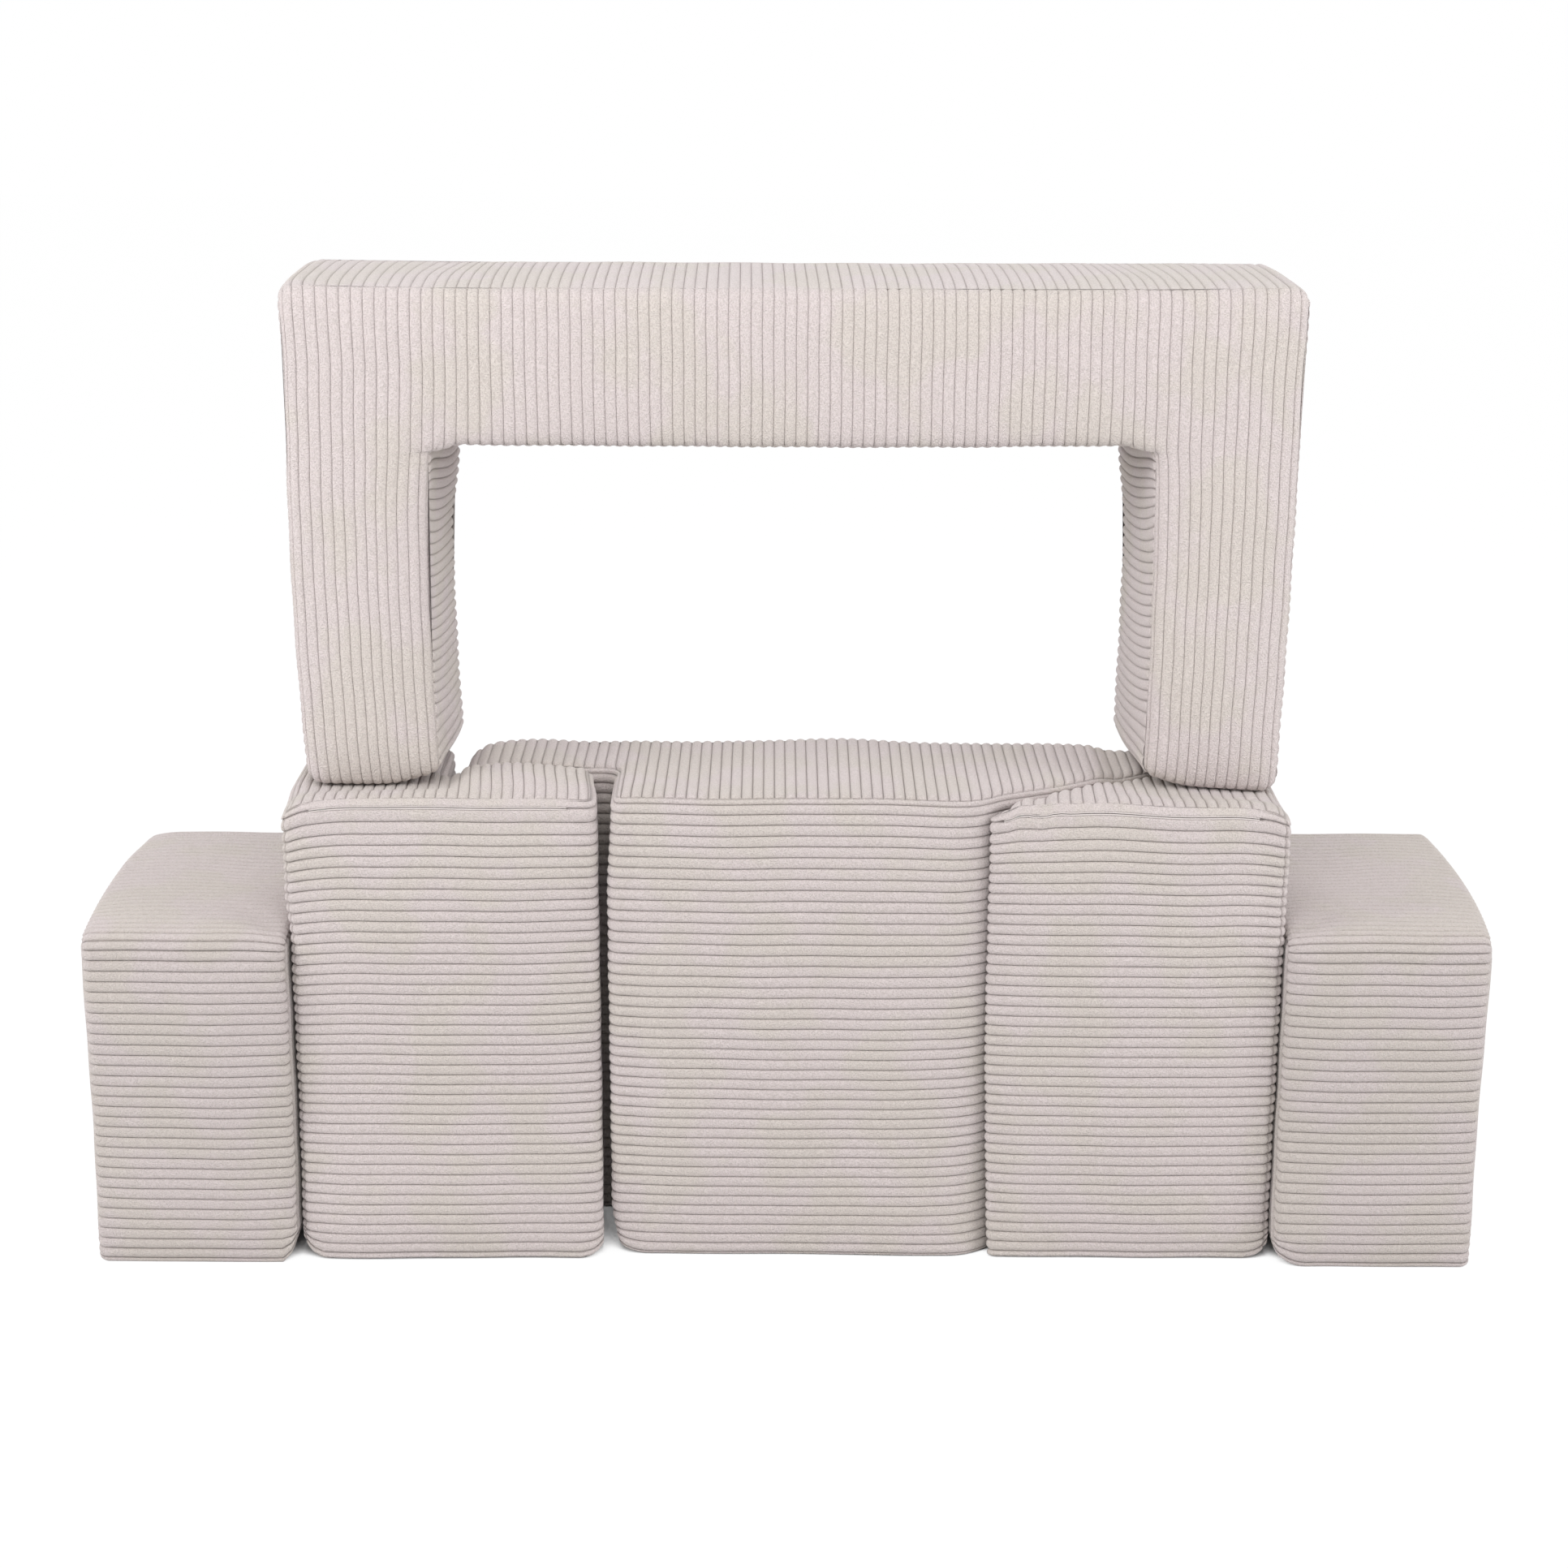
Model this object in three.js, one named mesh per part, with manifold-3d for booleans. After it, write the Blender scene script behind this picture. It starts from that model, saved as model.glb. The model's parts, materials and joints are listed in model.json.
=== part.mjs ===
// A modular foam play sofa, stood up as a tower. A stair block, a step and ramp block and a wedge
// fit together into one slab on the floor, a square block stands at each end of the slab, and an
// arch stands on top. Every block is a foam core in a corduroy cover with a concealed zip.
// Millimetres, +Z up, front towards -Y, origin on the floor under the middle of the set.
import * as THREE from "three";
import { mergeVertices } from "three/addons/utils/BufferGeometryUtils.js";
import Module from "manifold-3d";

const wasm = await Module();
wasm.setup();

// Driving sizes of the set
const BLOCK_DEPTH = 240; // the slab's thickness, which all its blocks and the arch share
const SLAB_HEIGHT = 550;
const SQUARE_SIDE = 390; // two square blocks side by side fill the arch
const SQUARE_THICKNESS = 240;
const ARCH_MEMBER = 160; // legs and beam
const STAIR_FRONT = 350; // stair block along the slab's front
const STAIR_COLUMN = 175; // its part that goes through to the back
const STEP_DEPTH = 120; // depth of the step in the stair block
const RAMP_RUN = 330; // length over which the ramp crosses the slab

// How the blocks stand
const REST_GAP = 0.5; // between blocks that touch
const STAIR_GAP = 6; // the open joint round the stair block
const SQUARE_LEAD = 12; // how far the square blocks stand in front of the slab
const ARCH_SETBACK = 64; // how far the arch stands behind the slab's front
const ARCH_SHIFT = 6;
const ARCH_TURN = THREE.MathUtils.degToRad(0.8); // it was set down a little askew

// Roundings
const SEAM_ROUND = 12; // where a panel turns into the next
const CORNER_ROUND = 14; // upright corners of the slab's blocks
const TIP_ROUND = 5; // the sharp corners where the ramp meets the wedge
const RAMP_ROUND = 50; // where the ramp leaves the front
const SQUARE_ROUND = 22;
const ARCH_ROUND = 20;
const FOOT_ROUND = 26; // inner corner under each leg of the arch
const LEAST_ROUND = 2; // an inner skin never turns a corner more sharply

// Swell: how far the middle of a free face stands out past its edges
const FACE_SWELL = 7;
const COLUMN_SWELL = 4; // the narrow back of the stair block
const SQUARE_SWELL = 5;
const PANEL_SWELL = 9; // the large outer panel of a square block
const LEG_SWELL = 3;
const BEAM_SWELL = 7;
const ARCH_PANEL_SWELL = 5;
const DOME_WIDTH = 45; // width of the rise from a panel's seam to its flat middle

// Cover and zip
const COVER_WALL = 4; // corduroy with its backing and seam allowances
const FOAM_FIT = 0.4; // between the foam and the cover
const ZIP_FIT = 0.3; // between the parts of a zip
const ZIP_DROP = 4.5; // from the start of the seam rounding to the middle of the zip
const ZIP_WIDTH = 8;
const TAPE_DEPTH = 2.3; // from the cover's face to the zip tape
const TAPE_THICKNESS = 0.9;
const COIL_WIDTH = 3;
const COIL_HEIGHT = 0.9;
const STOP_LENGTH = 3;
const STOP_WIDTH = 5;
const STOP_HEIGHT = 1.5;
const SLIDER_LENGTH = 10;
const SLIDER_HEAD = 6.8; // width of the slider at its wide end
const SLIDER_TAIL = 5.2;
const SLIDER_DEPTH = 0.3; // from the cover's face to the slider's roof
const EYE_LENGTH = 5; // the bridge that a clip goes through to pull the slider
const EYE_WIDTH = 1.6;
const EYE_HEIGHT = 2.2;
const EYE_BAR = 0.8;
const OVERRUN = 3; // how far a cut runs past what it cuts

const FULL_ZIP_SHARE = 0.77; // length of a zip as a share of the face that it closes
const ARCH_ZIP_SHARE = 0.6;

// How finely faces and arcs are divided
const OUTSIDE = { spacing: 130, arcSteps: 3, wallSteps: 4, domeSteps: 2 };
const INSIDE = { spacing: 280, arcSteps: 2, wallSteps: 2, domeSteps: 1 };

const corduroy = new THREE.MeshStandardMaterial({ color: 0xd3c9c2, roughness: 0.95, metalness: 0 });
const foam = new THREE.MeshStandardMaterial({ color: 0xf1e9c9, roughness: 1, metalness: 0 });
const zipTape = new THREE.MeshStandardMaterial({ color: 0xc4b8ae, roughness: 0.8, metalness: 0 });
const zipMetal = new THREE.MeshStandardMaterial({ color: 0xb5aaa0, roughness: 0.4, metalness: 0.8 });

// Solids

function solid(geometry) {
  const bare = geometry.clone();
  bare.deleteAttribute("normal");
  bare.deleteAttribute("uv");
  const merged = mergeVertices(bare);
  return new wasm.Manifold(
    new wasm.Mesh({
      numProp: 3,
      vertProperties: new Float32Array(merged.attributes.position.array),
      triVerts: new Uint32Array(merged.index.array),
    }),
  );
}

function geometryOf(body) {
  const mesh = body.getMesh();
  const geometry = new THREE.BufferGeometry();
  geometry.setAttribute("position", new THREE.BufferAttribute(mesh.vertProperties, mesh.numProp));
  geometry.setIndex(new THREE.BufferAttribute(mesh.triVerts, 1));
  geometry.computeVertexNormals();
  return geometry;
}

function box(low, high) {
  const size = high.map((value, axis) => value - low[axis]);
  const middle = high.map((value, axis) => (value + low[axis]) / 2);
  return solid(new THREE.BoxGeometry(...size).translate(...middle));
}

// Outlines: anticlockwise corners, each with its rounding and the swell of the side after it.
// In an outline's own plane a block's front, right and back face these ways, and an arch's top is
// where a slab block's back is.

const FRONTWARDS = new THREE.Vector2(0, -1);
const SIDEWAYS = new THREE.Vector2(1, 0);
const BACKWARDS = new THREE.Vector2(0, 1);
const corner = (x, y, round, swell = 0) => ({ place: new THREE.Vector2(x, y), round, swell });

function sidesOf(outline) {
  return outline.map((from, i) => {
    const to = outline[(i + 1) % outline.length];
    const along = to.place.clone().sub(from.place);
    const length = along.length();
    along.normalize();
    return { from, length, along, outward: new THREE.Vector2(along.y, -along.x) };
  });
}

// One loop of points round the outline, drawn in by inset, with every side swollen by its share
function loop(outline, inset, swellShare, detail) {
  const sides = sidesOf(outline);
  const arcs = sides.map((after, i) => {
    const before = sides[(i + sides.length - 1) % sides.length];
    const mitre = before.outward.clone().add(after.outward);
    mitre.divideScalar(1 + before.outward.dot(after.outward));
    const turn = Math.acos(THREE.MathUtils.clamp(before.along.dot(after.along), -1, 1));
    const bend = Math.sign(before.along.cross(after.along));
    const round = bend > 0 ? Math.max(after.from.round - inset, LEAST_ROUND) : after.from.round + inset;
    const centre = after.from.place.clone().addScaledVector(mitre, -inset - bend * round);
    return Array.from({ length: detail.arcSteps + 1 }, (_, step) => {
      const arm = before.outward.clone();
      arm.rotateAround(new THREE.Vector2(), (bend * turn * step) / detail.arcSteps);
      return centre.clone().addScaledVector(arm, bend * round);
    });
  });
  return sides.flatMap((side, i) => {
    const start = arcs[i].at(-1);
    const end = arcs[(i + 1) % arcs.length][0];
    const steps = Math.max(2, Math.round(side.length / detail.spacing));
    const between = Array.from({ length: steps - 1 }, (_, step) => {
      const share = (step + 1) / steps;
      const rise = side.from.swell * swellShare * 4 * share * (1 - share);
      return start.clone().lerp(end, share).addScaledVector(side.outward, rise);
    });
    return [...arcs[i], ...between];
  });
}

// The closed skin of a padded block, skin inside its nominal faces: walls that swell, rounded
// seams, and an end panel at each end that is flat or rises to a dome.
function padded(outline, length, domes, skin, detail) {
  const round = SEAM_ROUND - skin;
  const seam = (step) => {
    const angle = ((Math.PI / 2) * step) / detail.arcSteps;
    return { inset: skin + round * (1 - Math.cos(angle)), rise: round * Math.sin(angle) };
  };
  const seams = Array.from({ length: detail.arcSteps + 1 }, (_, step) => seam(step));
  const dome = (height) =>
    Array.from({ length: height ? detail.domeSteps : 0 }, (_, step) => {
      const share = (step + 1) / detail.domeSteps;
      return { inset: skin + round + DOME_WIDTH * share, rise: round + height * share * (2 - share) };
    });
  const end = (height) => [...seams, ...dome(height)];
  const wallStart = SEAM_ROUND;
  const wallEnd = length - SEAM_ROUND;
  const wall = Array.from({ length: detail.wallSteps - 1 }, (_, step) => {
    const share = (step + 1) / detail.wallSteps;
    return {
      inset: skin,
      height: THREE.MathUtils.lerp(wallStart, wallEnd, share),
      swellShare: 4 * share * (1 - share),
    };
  });
  const levels = [
    ...end(domes[0])
      .map(({ inset, rise }) => ({ inset, height: wallStart - rise, swellShare: 0 }))
      .reverse(),
    ...wall,
    ...end(domes[1]).map(({ inset, rise }) => ({ inset, height: wallEnd + rise, swellShare: 0 })),
  ];
  const loops = levels.map((level) => loop(outline, level.inset, level.swellShare, detail));
  const count = loops[0].length;
  const points = loops.flatMap((ring, i) => ring.flatMap((p) => [p.x, p.y, levels[i].height]));
  const faces = [];
  for (let row = 0; row + 1 < loops.length; row += 1) {
    for (let i = 0; i < count; i += 1) {
      const a = row * count + i;
      const b = row * count + ((i + 1) % count);
      faces.push(a, b, b + count, a, b + count, a + count);
    }
  }
  const last = (loops.length - 1) * count;
  for (const [a, b, c] of THREE.ShapeUtils.triangulateShape(loops[0], [])) faces.push(c, b, a);
  for (const [a, b, c] of THREE.ShapeUtils.triangulateShape(loops.at(-1), [])) {
    faces.push(last + a, last + b, last + c);
  }
  const geometry = new THREE.BufferGeometry();
  geometry.setAttribute("position", new THREE.Float32BufferAttribute(points, 3));
  geometry.setIndex(faces);
  return geometry;
}

// Zips. In a zip's own frame X runs along it, Y goes into the block and Z crosses it.

// The side of the block that faces the way its zip does
function zipSide(block) {
  const facing = (side) => side.outward.dot(block.zip.facing);
  return sidesOf(block.outline).reduce((best, side) => (facing(side) > facing(best) ? side : best));
}

function zipFrame(block) {
  const side = zipSide(block);
  const height = SEAM_ROUND + ZIP_DROP;
  const middle = side.from.place.clone().addScaledVector(side.along, side.length / 2);
  return new THREE.Matrix4()
    .makeBasis(
      new THREE.Vector3(side.along.x, side.along.y, 0),
      new THREE.Vector3(-side.outward.x, -side.outward.y, 0),
      new THREE.Vector3(0, 0, 1),
    )
    .setPosition(middle.x, middle.y, block.zip.atTop ? block.length - height : height);
}

const zipLength = (block) => zipSide(block).length * block.zip.share;

function zipSlot(length) {
  return box(
    [-length / 2, -OVERRUN, -ZIP_WIDTH / 2],
    [length / 2, COVER_WALL + OVERRUN, ZIP_WIDTH / 2],
  );
}

// Two tapes with their closed coil, and a stop at each end of the coil
function zipChain(length) {
  const half = length / 2 - ZIP_FIT;
  const tape = box(
    [-half, TAPE_DEPTH, ZIP_FIT - ZIP_WIDTH / 2],
    [half, TAPE_DEPTH + TAPE_THICKNESS, ZIP_WIDTH / 2 - ZIP_FIT],
  );
  const sunk = TAPE_DEPTH + TAPE_THICKNESS / 2;
  const coil = box(
    [-half, TAPE_DEPTH - COIL_HEIGHT, -COIL_WIDTH / 2],
    [half, sunk, COIL_WIDTH / 2],
  );
  const stops = [-half, half - STOP_LENGTH].map((start) =>
    box(
      [start, TAPE_DEPTH - STOP_HEIGHT, -STOP_WIDTH / 2],
      [start + STOP_LENGTH, sunk, STOP_WIDTH / 2],
    ),
  );
  return stops.reduce((joined, stop) => joined.add(stop), tape.add(coil));
}

// The slider: a body that narrows to its tail, hollowed to ride over the coil, and an eye on its
// roof. It has no pull tab, as on covers for small children, and rests at the closed end.
function zipSlider(length) {
  const head = SLIDER_HEAD / 2;
  const tail = SLIDER_TAIL / 2;
  const plan = new THREE.Shape();
  plan.moveTo(0, -tail);
  plan.lineTo(SLIDER_LENGTH / 2, -head);
  plan.absarc(SLIDER_LENGTH - head, 0, head, -Math.PI / 2, Math.PI / 2);
  plan.lineTo(SLIDER_LENGTH / 2, head);
  plan.lineTo(0, tail);
  const bodyDepth = TAPE_DEPTH - ZIP_FIT - SLIDER_DEPTH;
  const body = new THREE.ExtrudeGeometry(plan, {
    depth: bodyDepth,
    bevelEnabled: false,
    curveSegments: 8,
  });
  body.rotateX(-Math.PI / 2);
  body.translate(0, SLIDER_DEPTH, 0);
  const coilWay = box(
    [-OVERRUN, TAPE_DEPTH - COIL_HEIGHT - ZIP_FIT, -COIL_WIDTH / 2 - ZIP_FIT],
    [SLIDER_LENGTH + OVERRUN, TAPE_DEPTH, COIL_WIDTH / 2 + ZIP_FIT],
  );
  const eyeStart = (SLIDER_LENGTH - EYE_LENGTH) / 2;
  const eyeFoot = SLIDER_DEPTH + EYE_BAR / 2;
  const eye = box(
    [eyeStart, SLIDER_DEPTH - EYE_HEIGHT, -EYE_WIDTH / 2],
    [eyeStart + EYE_LENGTH, eyeFoot, EYE_WIDTH / 2],
  ).subtract(
    box(
      [eyeStart + EYE_BAR, SLIDER_DEPTH - EYE_HEIGHT + EYE_BAR, -EYE_WIDTH],
      [eyeStart + EYE_LENGTH - EYE_BAR, SLIDER_DEPTH, EYE_WIDTH],
    ),
  );
  const slider = geometryOf(solid(body).subtract(coilWay).add(eye));
  return slider.translate(ZIP_FIT + STOP_LENGTH + ZIP_FIT - length / 2, 0, 0);
}

// The blocks, each in its own frame: an outline, carried along its length

const slabBlock = { length: SLAB_HEIGHT, domes: [0, 0], frame: new THREE.Matrix4() };

const stairBlock = {
  ...slabBlock,
  name: "stair",
  outline: [
    corner(0, 0, CORNER_ROUND, FACE_SWELL),
    corner(STAIR_FRONT, 0, CORNER_ROUND),
    corner(STAIR_FRONT, STEP_DEPTH, CORNER_ROUND),
    corner(STAIR_COLUMN, STEP_DEPTH, CORNER_ROUND),
    corner(STAIR_COLUMN, BLOCK_DEPTH, CORNER_ROUND, COLUMN_SWELL),
    corner(0, BLOCK_DEPTH, CORNER_ROUND),
  ],
  zip: { facing: FRONTWARDS, atTop: true, share: FULL_ZIP_SHARE },
};

const archHalf = SQUARE_SIDE + ARCH_MEMBER;
const stemFront = 2 * archHalf - STAIR_FRONT - RAMP_RUN; // the slab is as long as the arch
const wingReach = STAIR_FRONT - STAIR_COLUMN;
const wingFront = STEP_DEPTH + STAIR_GAP;
const rampBlock = {
  ...slabBlock,
  name: "ramp",
  outline: [
    corner(0, 0, CORNER_ROUND, FACE_SWELL),
    corner(stemFront, 0, RAMP_ROUND),
    corner(stemFront + RAMP_RUN, BLOCK_DEPTH, TIP_ROUND, FACE_SWELL),
    corner(-wingReach, BLOCK_DEPTH, CORNER_ROUND),
    corner(-wingReach, wingFront, CORNER_ROUND),
    corner(0, wingFront, CORNER_ROUND),
  ],
  zip: { facing: BACKWARDS, atTop: false, share: FULL_ZIP_SHARE },
};

const wedgeBlock = {
  ...slabBlock,
  name: "wedge",
  outline: [
    corner(0, 0, TIP_ROUND, FACE_SWELL),
    corner(RAMP_RUN, 0, CORNER_ROUND),
    corner(RAMP_RUN, BLOCK_DEPTH, TIP_ROUND),
  ],
  zip: { facing: FRONTWARDS, atTop: true, share: FULL_ZIP_SHARE },
};

// A square block's outline is its side view, carried along X
const alongX = new THREE.Matrix4().makeBasis(
  new THREE.Vector3(0, 1, 0),
  new THREE.Vector3(0, 0, 1),
  new THREE.Vector3(1, 0, 0),
);
const squareBlock = {
  length: SQUARE_THICKNESS,
  frame: alongX,
  outline: [
    corner(0, 0, SQUARE_ROUND),
    corner(SQUARE_SIDE, 0, SQUARE_ROUND, SQUARE_SWELL),
    corner(SQUARE_SIDE, SQUARE_SIDE, SQUARE_ROUND, SQUARE_SWELL),
    corner(0, SQUARE_SIDE, SQUARE_ROUND, SQUARE_SWELL),
  ],
};
const leftSquare = {
  ...squareBlock,
  name: "left_square",
  domes: [PANEL_SWELL, 0],
  zip: { facing: SIDEWAYS, atTop: false, share: FULL_ZIP_SHARE },
};
const rightSquare = {
  ...squareBlock,
  name: "right_square",
  domes: [0, PANEL_SWELL],
  zip: { facing: SIDEWAYS, atTop: true, share: FULL_ZIP_SHARE },
};

// The arch's outline is its front view, carried from its back to its front
const alongMinusY = new THREE.Matrix4().makeBasis(
  new THREE.Vector3(1, 0, 0),
  new THREE.Vector3(0, 0, 1),
  new THREE.Vector3(0, -1, 0),
);
const archTop = SQUARE_SIDE + ARCH_MEMBER;
const archBlock = {
  name: "arch",
  length: BLOCK_DEPTH,
  domes: [ARCH_PANEL_SWELL, ARCH_PANEL_SWELL],
  frame: alongMinusY,
  outline: [
    corner(-archHalf, 0, ARCH_ROUND),
    corner(-SQUARE_SIDE, 0, FOOT_ROUND, LEG_SWELL),
    corner(-SQUARE_SIDE, SQUARE_SIDE, ARCH_ROUND, LEG_SWELL),
    corner(SQUARE_SIDE, SQUARE_SIDE, ARCH_ROUND, LEG_SWELL),
    corner(SQUARE_SIDE, 0, FOOT_ROUND),
    corner(archHalf, 0, ARCH_ROUND, LEG_SWELL),
    corner(archHalf, archTop, ARCH_ROUND, BEAM_SWELL),
    corner(-archHalf, archTop, ARCH_ROUND, LEG_SWELL),
  ],
  zip: { facing: BACKWARDS, atTop: false, share: ARCH_ZIP_SHARE },
};

function part(name, geometry, material) {
  const mesh = new THREE.Mesh(geometry, material);
  mesh.name = name;
  return mesh;
}

// A block's group: its foam core, its cover with the zip's slot, the zip and its slider
function build(block) {
  const group = new THREE.Group();
  const place = zipFrame(block);
  const length = zipLength(block);
  const { outline, domes, name } = block;
  const core = padded(outline, block.length, domes, COVER_WALL + FOAM_FIT, INSIDE);
  const lining = padded(outline, block.length, domes, COVER_WALL, INSIDE);
  const slot = solid(geometryOf(zipSlot(length)).applyMatrix4(place));
  const cover = solid(padded(outline, block.length, domes, 0, OUTSIDE))
    .subtract(solid(lining))
    .subtract(slot);
  group.add(
    part(name + "_foam", core, foam),
    part(name + "_cover", geometryOf(cover), corduroy),
    part(name + "_zip", geometryOf(zipChain(length)).applyMatrix4(place), zipTape),
    part(name + "_zip_slider", zipSlider(length).applyMatrix4(place), zipMetal),
  );
  for (const mesh of group.children) mesh.geometry.applyMatrix4(block.frame);
  return group;
}

// The set, with the slab's blocks side by side and the slab's front at y = 0

const rampSine = BLOCK_DEPTH / Math.hypot(RAMP_RUN, BLOCK_DEPTH);
const stemStart = STAIR_FRONT + STAIR_GAP;
const wedgeStart = stemStart + stemFront + REST_GAP / rampSine;
const slabLength = wedgeStart + RAMP_RUN;
const slabLeft = -slabLength / 2;

const stair = build(stairBlock);
stair.position.x = slabLeft;

const ramp = build(rampBlock);
ramp.position.x = slabLeft + stemStart;

const wedge = build(wedgeBlock);
wedge.position.x = slabLeft + wedgeStart;

const left = build(leftSquare);
left.position.set(slabLeft - REST_GAP - SQUARE_THICKNESS, -SQUARE_LEAD, 0);

const right = build(rightSquare);
right.position.set(slabLeft + slabLength + REST_GAP, -SQUARE_LEAD, 0);

const arch = build(archBlock);
const archMiddle = new THREE.Group();
arch.position.y = BLOCK_DEPTH;
archMiddle.add(arch);
archMiddle.rotation.z = ARCH_TURN;
archMiddle.position.set(ARCH_SHIFT, ARCH_SETBACK, SLAB_HEIGHT + REST_GAP);

const row = new THREE.Group();
row.add(stair, ramp, wedge, left, right, archMiddle);
const bounds = new THREE.Box3().setFromObject(row, true);
const middle = bounds.getCenter(new THREE.Vector3());
row.position.set(-middle.x, -middle.y, 0);

const sofa = new THREE.Group();
sofa.add(row);

export default sofa;
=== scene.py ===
# The look of a modular foam play sofa, stood up as a tower: six blocks of foam in wide-wale
# corduroy covers. Metres, +Z up, front towards -Y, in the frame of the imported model.
import json
import math
from copy import copy
from functools import partial
from types import SimpleNamespace

import bmesh
import bpy
import numpy as np
from mathutils import Euler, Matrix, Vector
from mathutils.bvhtree import BVHTree
from mathutils.interpolate import poly_3d_calc

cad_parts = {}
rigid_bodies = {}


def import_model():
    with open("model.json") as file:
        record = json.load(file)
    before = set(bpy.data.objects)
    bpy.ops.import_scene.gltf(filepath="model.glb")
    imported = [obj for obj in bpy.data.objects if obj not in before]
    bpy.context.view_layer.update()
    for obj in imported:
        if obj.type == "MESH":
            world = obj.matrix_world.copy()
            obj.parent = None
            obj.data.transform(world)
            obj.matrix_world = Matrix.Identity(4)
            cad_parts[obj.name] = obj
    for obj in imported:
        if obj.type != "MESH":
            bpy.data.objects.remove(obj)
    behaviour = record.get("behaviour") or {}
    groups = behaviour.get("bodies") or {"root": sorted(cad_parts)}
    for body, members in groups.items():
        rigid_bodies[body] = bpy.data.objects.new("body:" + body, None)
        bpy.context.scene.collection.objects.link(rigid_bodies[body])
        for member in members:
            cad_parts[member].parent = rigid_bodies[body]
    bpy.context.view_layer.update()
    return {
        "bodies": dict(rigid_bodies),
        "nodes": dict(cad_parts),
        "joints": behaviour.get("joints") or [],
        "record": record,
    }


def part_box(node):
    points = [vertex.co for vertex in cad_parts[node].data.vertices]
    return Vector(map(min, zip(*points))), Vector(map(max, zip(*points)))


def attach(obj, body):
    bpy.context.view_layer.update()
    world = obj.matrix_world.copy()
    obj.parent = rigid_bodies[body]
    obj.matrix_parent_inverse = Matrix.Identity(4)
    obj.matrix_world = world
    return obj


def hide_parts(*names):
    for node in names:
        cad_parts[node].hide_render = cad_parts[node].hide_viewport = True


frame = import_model()

MM = 0.001

# The corduroy
WALE = 12.2 * MM  # from one groove to the next
WALE_SHARES = (0.0, 0.045, 0.12, 0.27, 0.5, 0.73, 0.88, 0.955)  # where a wale is modelled
WALE_DEPTH = 3.4 * MM
WALE_ROUNDNESS = 3.6  # higher is flatter on top with a narrower groove
EDGE_ROUNDNESS = 2.0
EDGE_REACH = 26 * MM  # how near a block's edge its wales start to stand rounder and taller
EDGE_DEPTH = 0.35  # how much taller
SEAM_DEPTH = 5.0 * MM
END_ROUND = 5 * MM  # length over which a wale's crest rolls down into a seam
NOTCH_SHARE = 1.6  # how much longer its groove takes to do so
SEAM_GAP = 1.0 * MM  # width of a seam

# The blocks, as they are cut
SEAM_ROUND = 12 * MM
FLOOR_ROUND, TOP_ROUND = 4 * MM, 16 * MM
CORNER_ROUND = 14 * MM
TIP_ROUND = 5 * MM
RAMP_ROUND = 50 * MM
SQUARE_ROUND = 22 * MM
ARCH_ROUND = 20 * MM
OPENING_ROUND = 34 * MM
FOOT_ROUND = 17 * MM
LEAST_ROUND = 2 * MM
STEP_DEPTH = 120 * MM
STAIR_GAP = 6 * MM
ARCH_MEMBER = 160 * MM
ARCH_TURN = math.radians(0.8)

# How finely a cover and a simple skin are divided
FINE_STEP = 11 * MM
COARSE_STEP = 24 * MM
END_STEPS = (0, 0.6 * MM, 1.4 * MM, 2.6 * MM, 4.2 * MM, 6.5 * MM, 9.5 * MM, 13.5 * MM)
FINE_ARC, COARSE_ARC = 6, 3
LEAST_STEP = 0.35 * MM
TOUCH = 0.001 * MM
DOME_WIDTH = 45 * MM
PILLOW = 4.0  # higher is flatter, with a tighter curve at the edges
PANEL_SEAM = math.radians(52)
FOAM_DEPTH = 9.5 * MM

# The zip's pocket across its run: rows, where each slides to, and how deep it lies
ZIP_ROWS = (-6.0, -4.6, -3.4, -2.4, -1.7, -1.1, -0.5, 0, 0.5, 1.1, 1.7, 2.4, 3.4, 4.6, 6.0)
ZIP_PLACES = (-6.0, -4.7, -3.3, -1.9, -2.0, -3.9, -3.9, 0, 3.9, 3.9, 1.9, 1.8, 2.9, 4.4, 6.0)
ZIP_DEPTHS = (0, 0.3, 0.4, 1.3, 1.9, 2.1, 5.6, 5.7, 5.6, 2.1, 1.8, 0.8, 0.1, 0.2, 0)
ZIP_END = 5 * MM
PLACKET_END = 30 * MM

# A zip's own sizes, in mm: across its run and into the block
TAPE = (3.5, 4.5, 5.1)  # half the tape's width, and from what depth to what depth it lies
TAPE_FOLD = (0.45, 1.7, 0.8, 1.9)  # its folded edges, from and to across, and from and to deep
TAPE_TAIL = 7  # how far the folded edges run on under the cloth
TAPE_PIECE = 8  # how finely the tape is cut along its run
TOOTH = (0.45, 1.3, 3.3, 4.6)  # half a tooth's length, half its width, and its depths
TOOTH_PITCH, TOOTH_REACH = 1.6, 0.6  # between teeth, and how far each stands to its own side
# The slider's bars: how far from its ends, half its width, its depths and how much it is eased
SLIDER_BARS = (
    (0, 3.2, 2.2, 3.1, 0.4),
    (0, 3.2, 4.7, 5.5, 0.35),
    (3.5, 0.5, 2.8, 5.0, 0.2),
    (1, 0.35, 0.3, 2.4, 0.15),
)

# The cloth simulation that gives the covers their crown
CLOTH_PRESSURE = 4.0
CLOTH_FRAMES = 20
CLOTH_REACH = 20 * MM  # how far pressure may push the cloth
CLOTH_SHARE = 0.5  # how much of the crown follows the simulation


# Outlines


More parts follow.
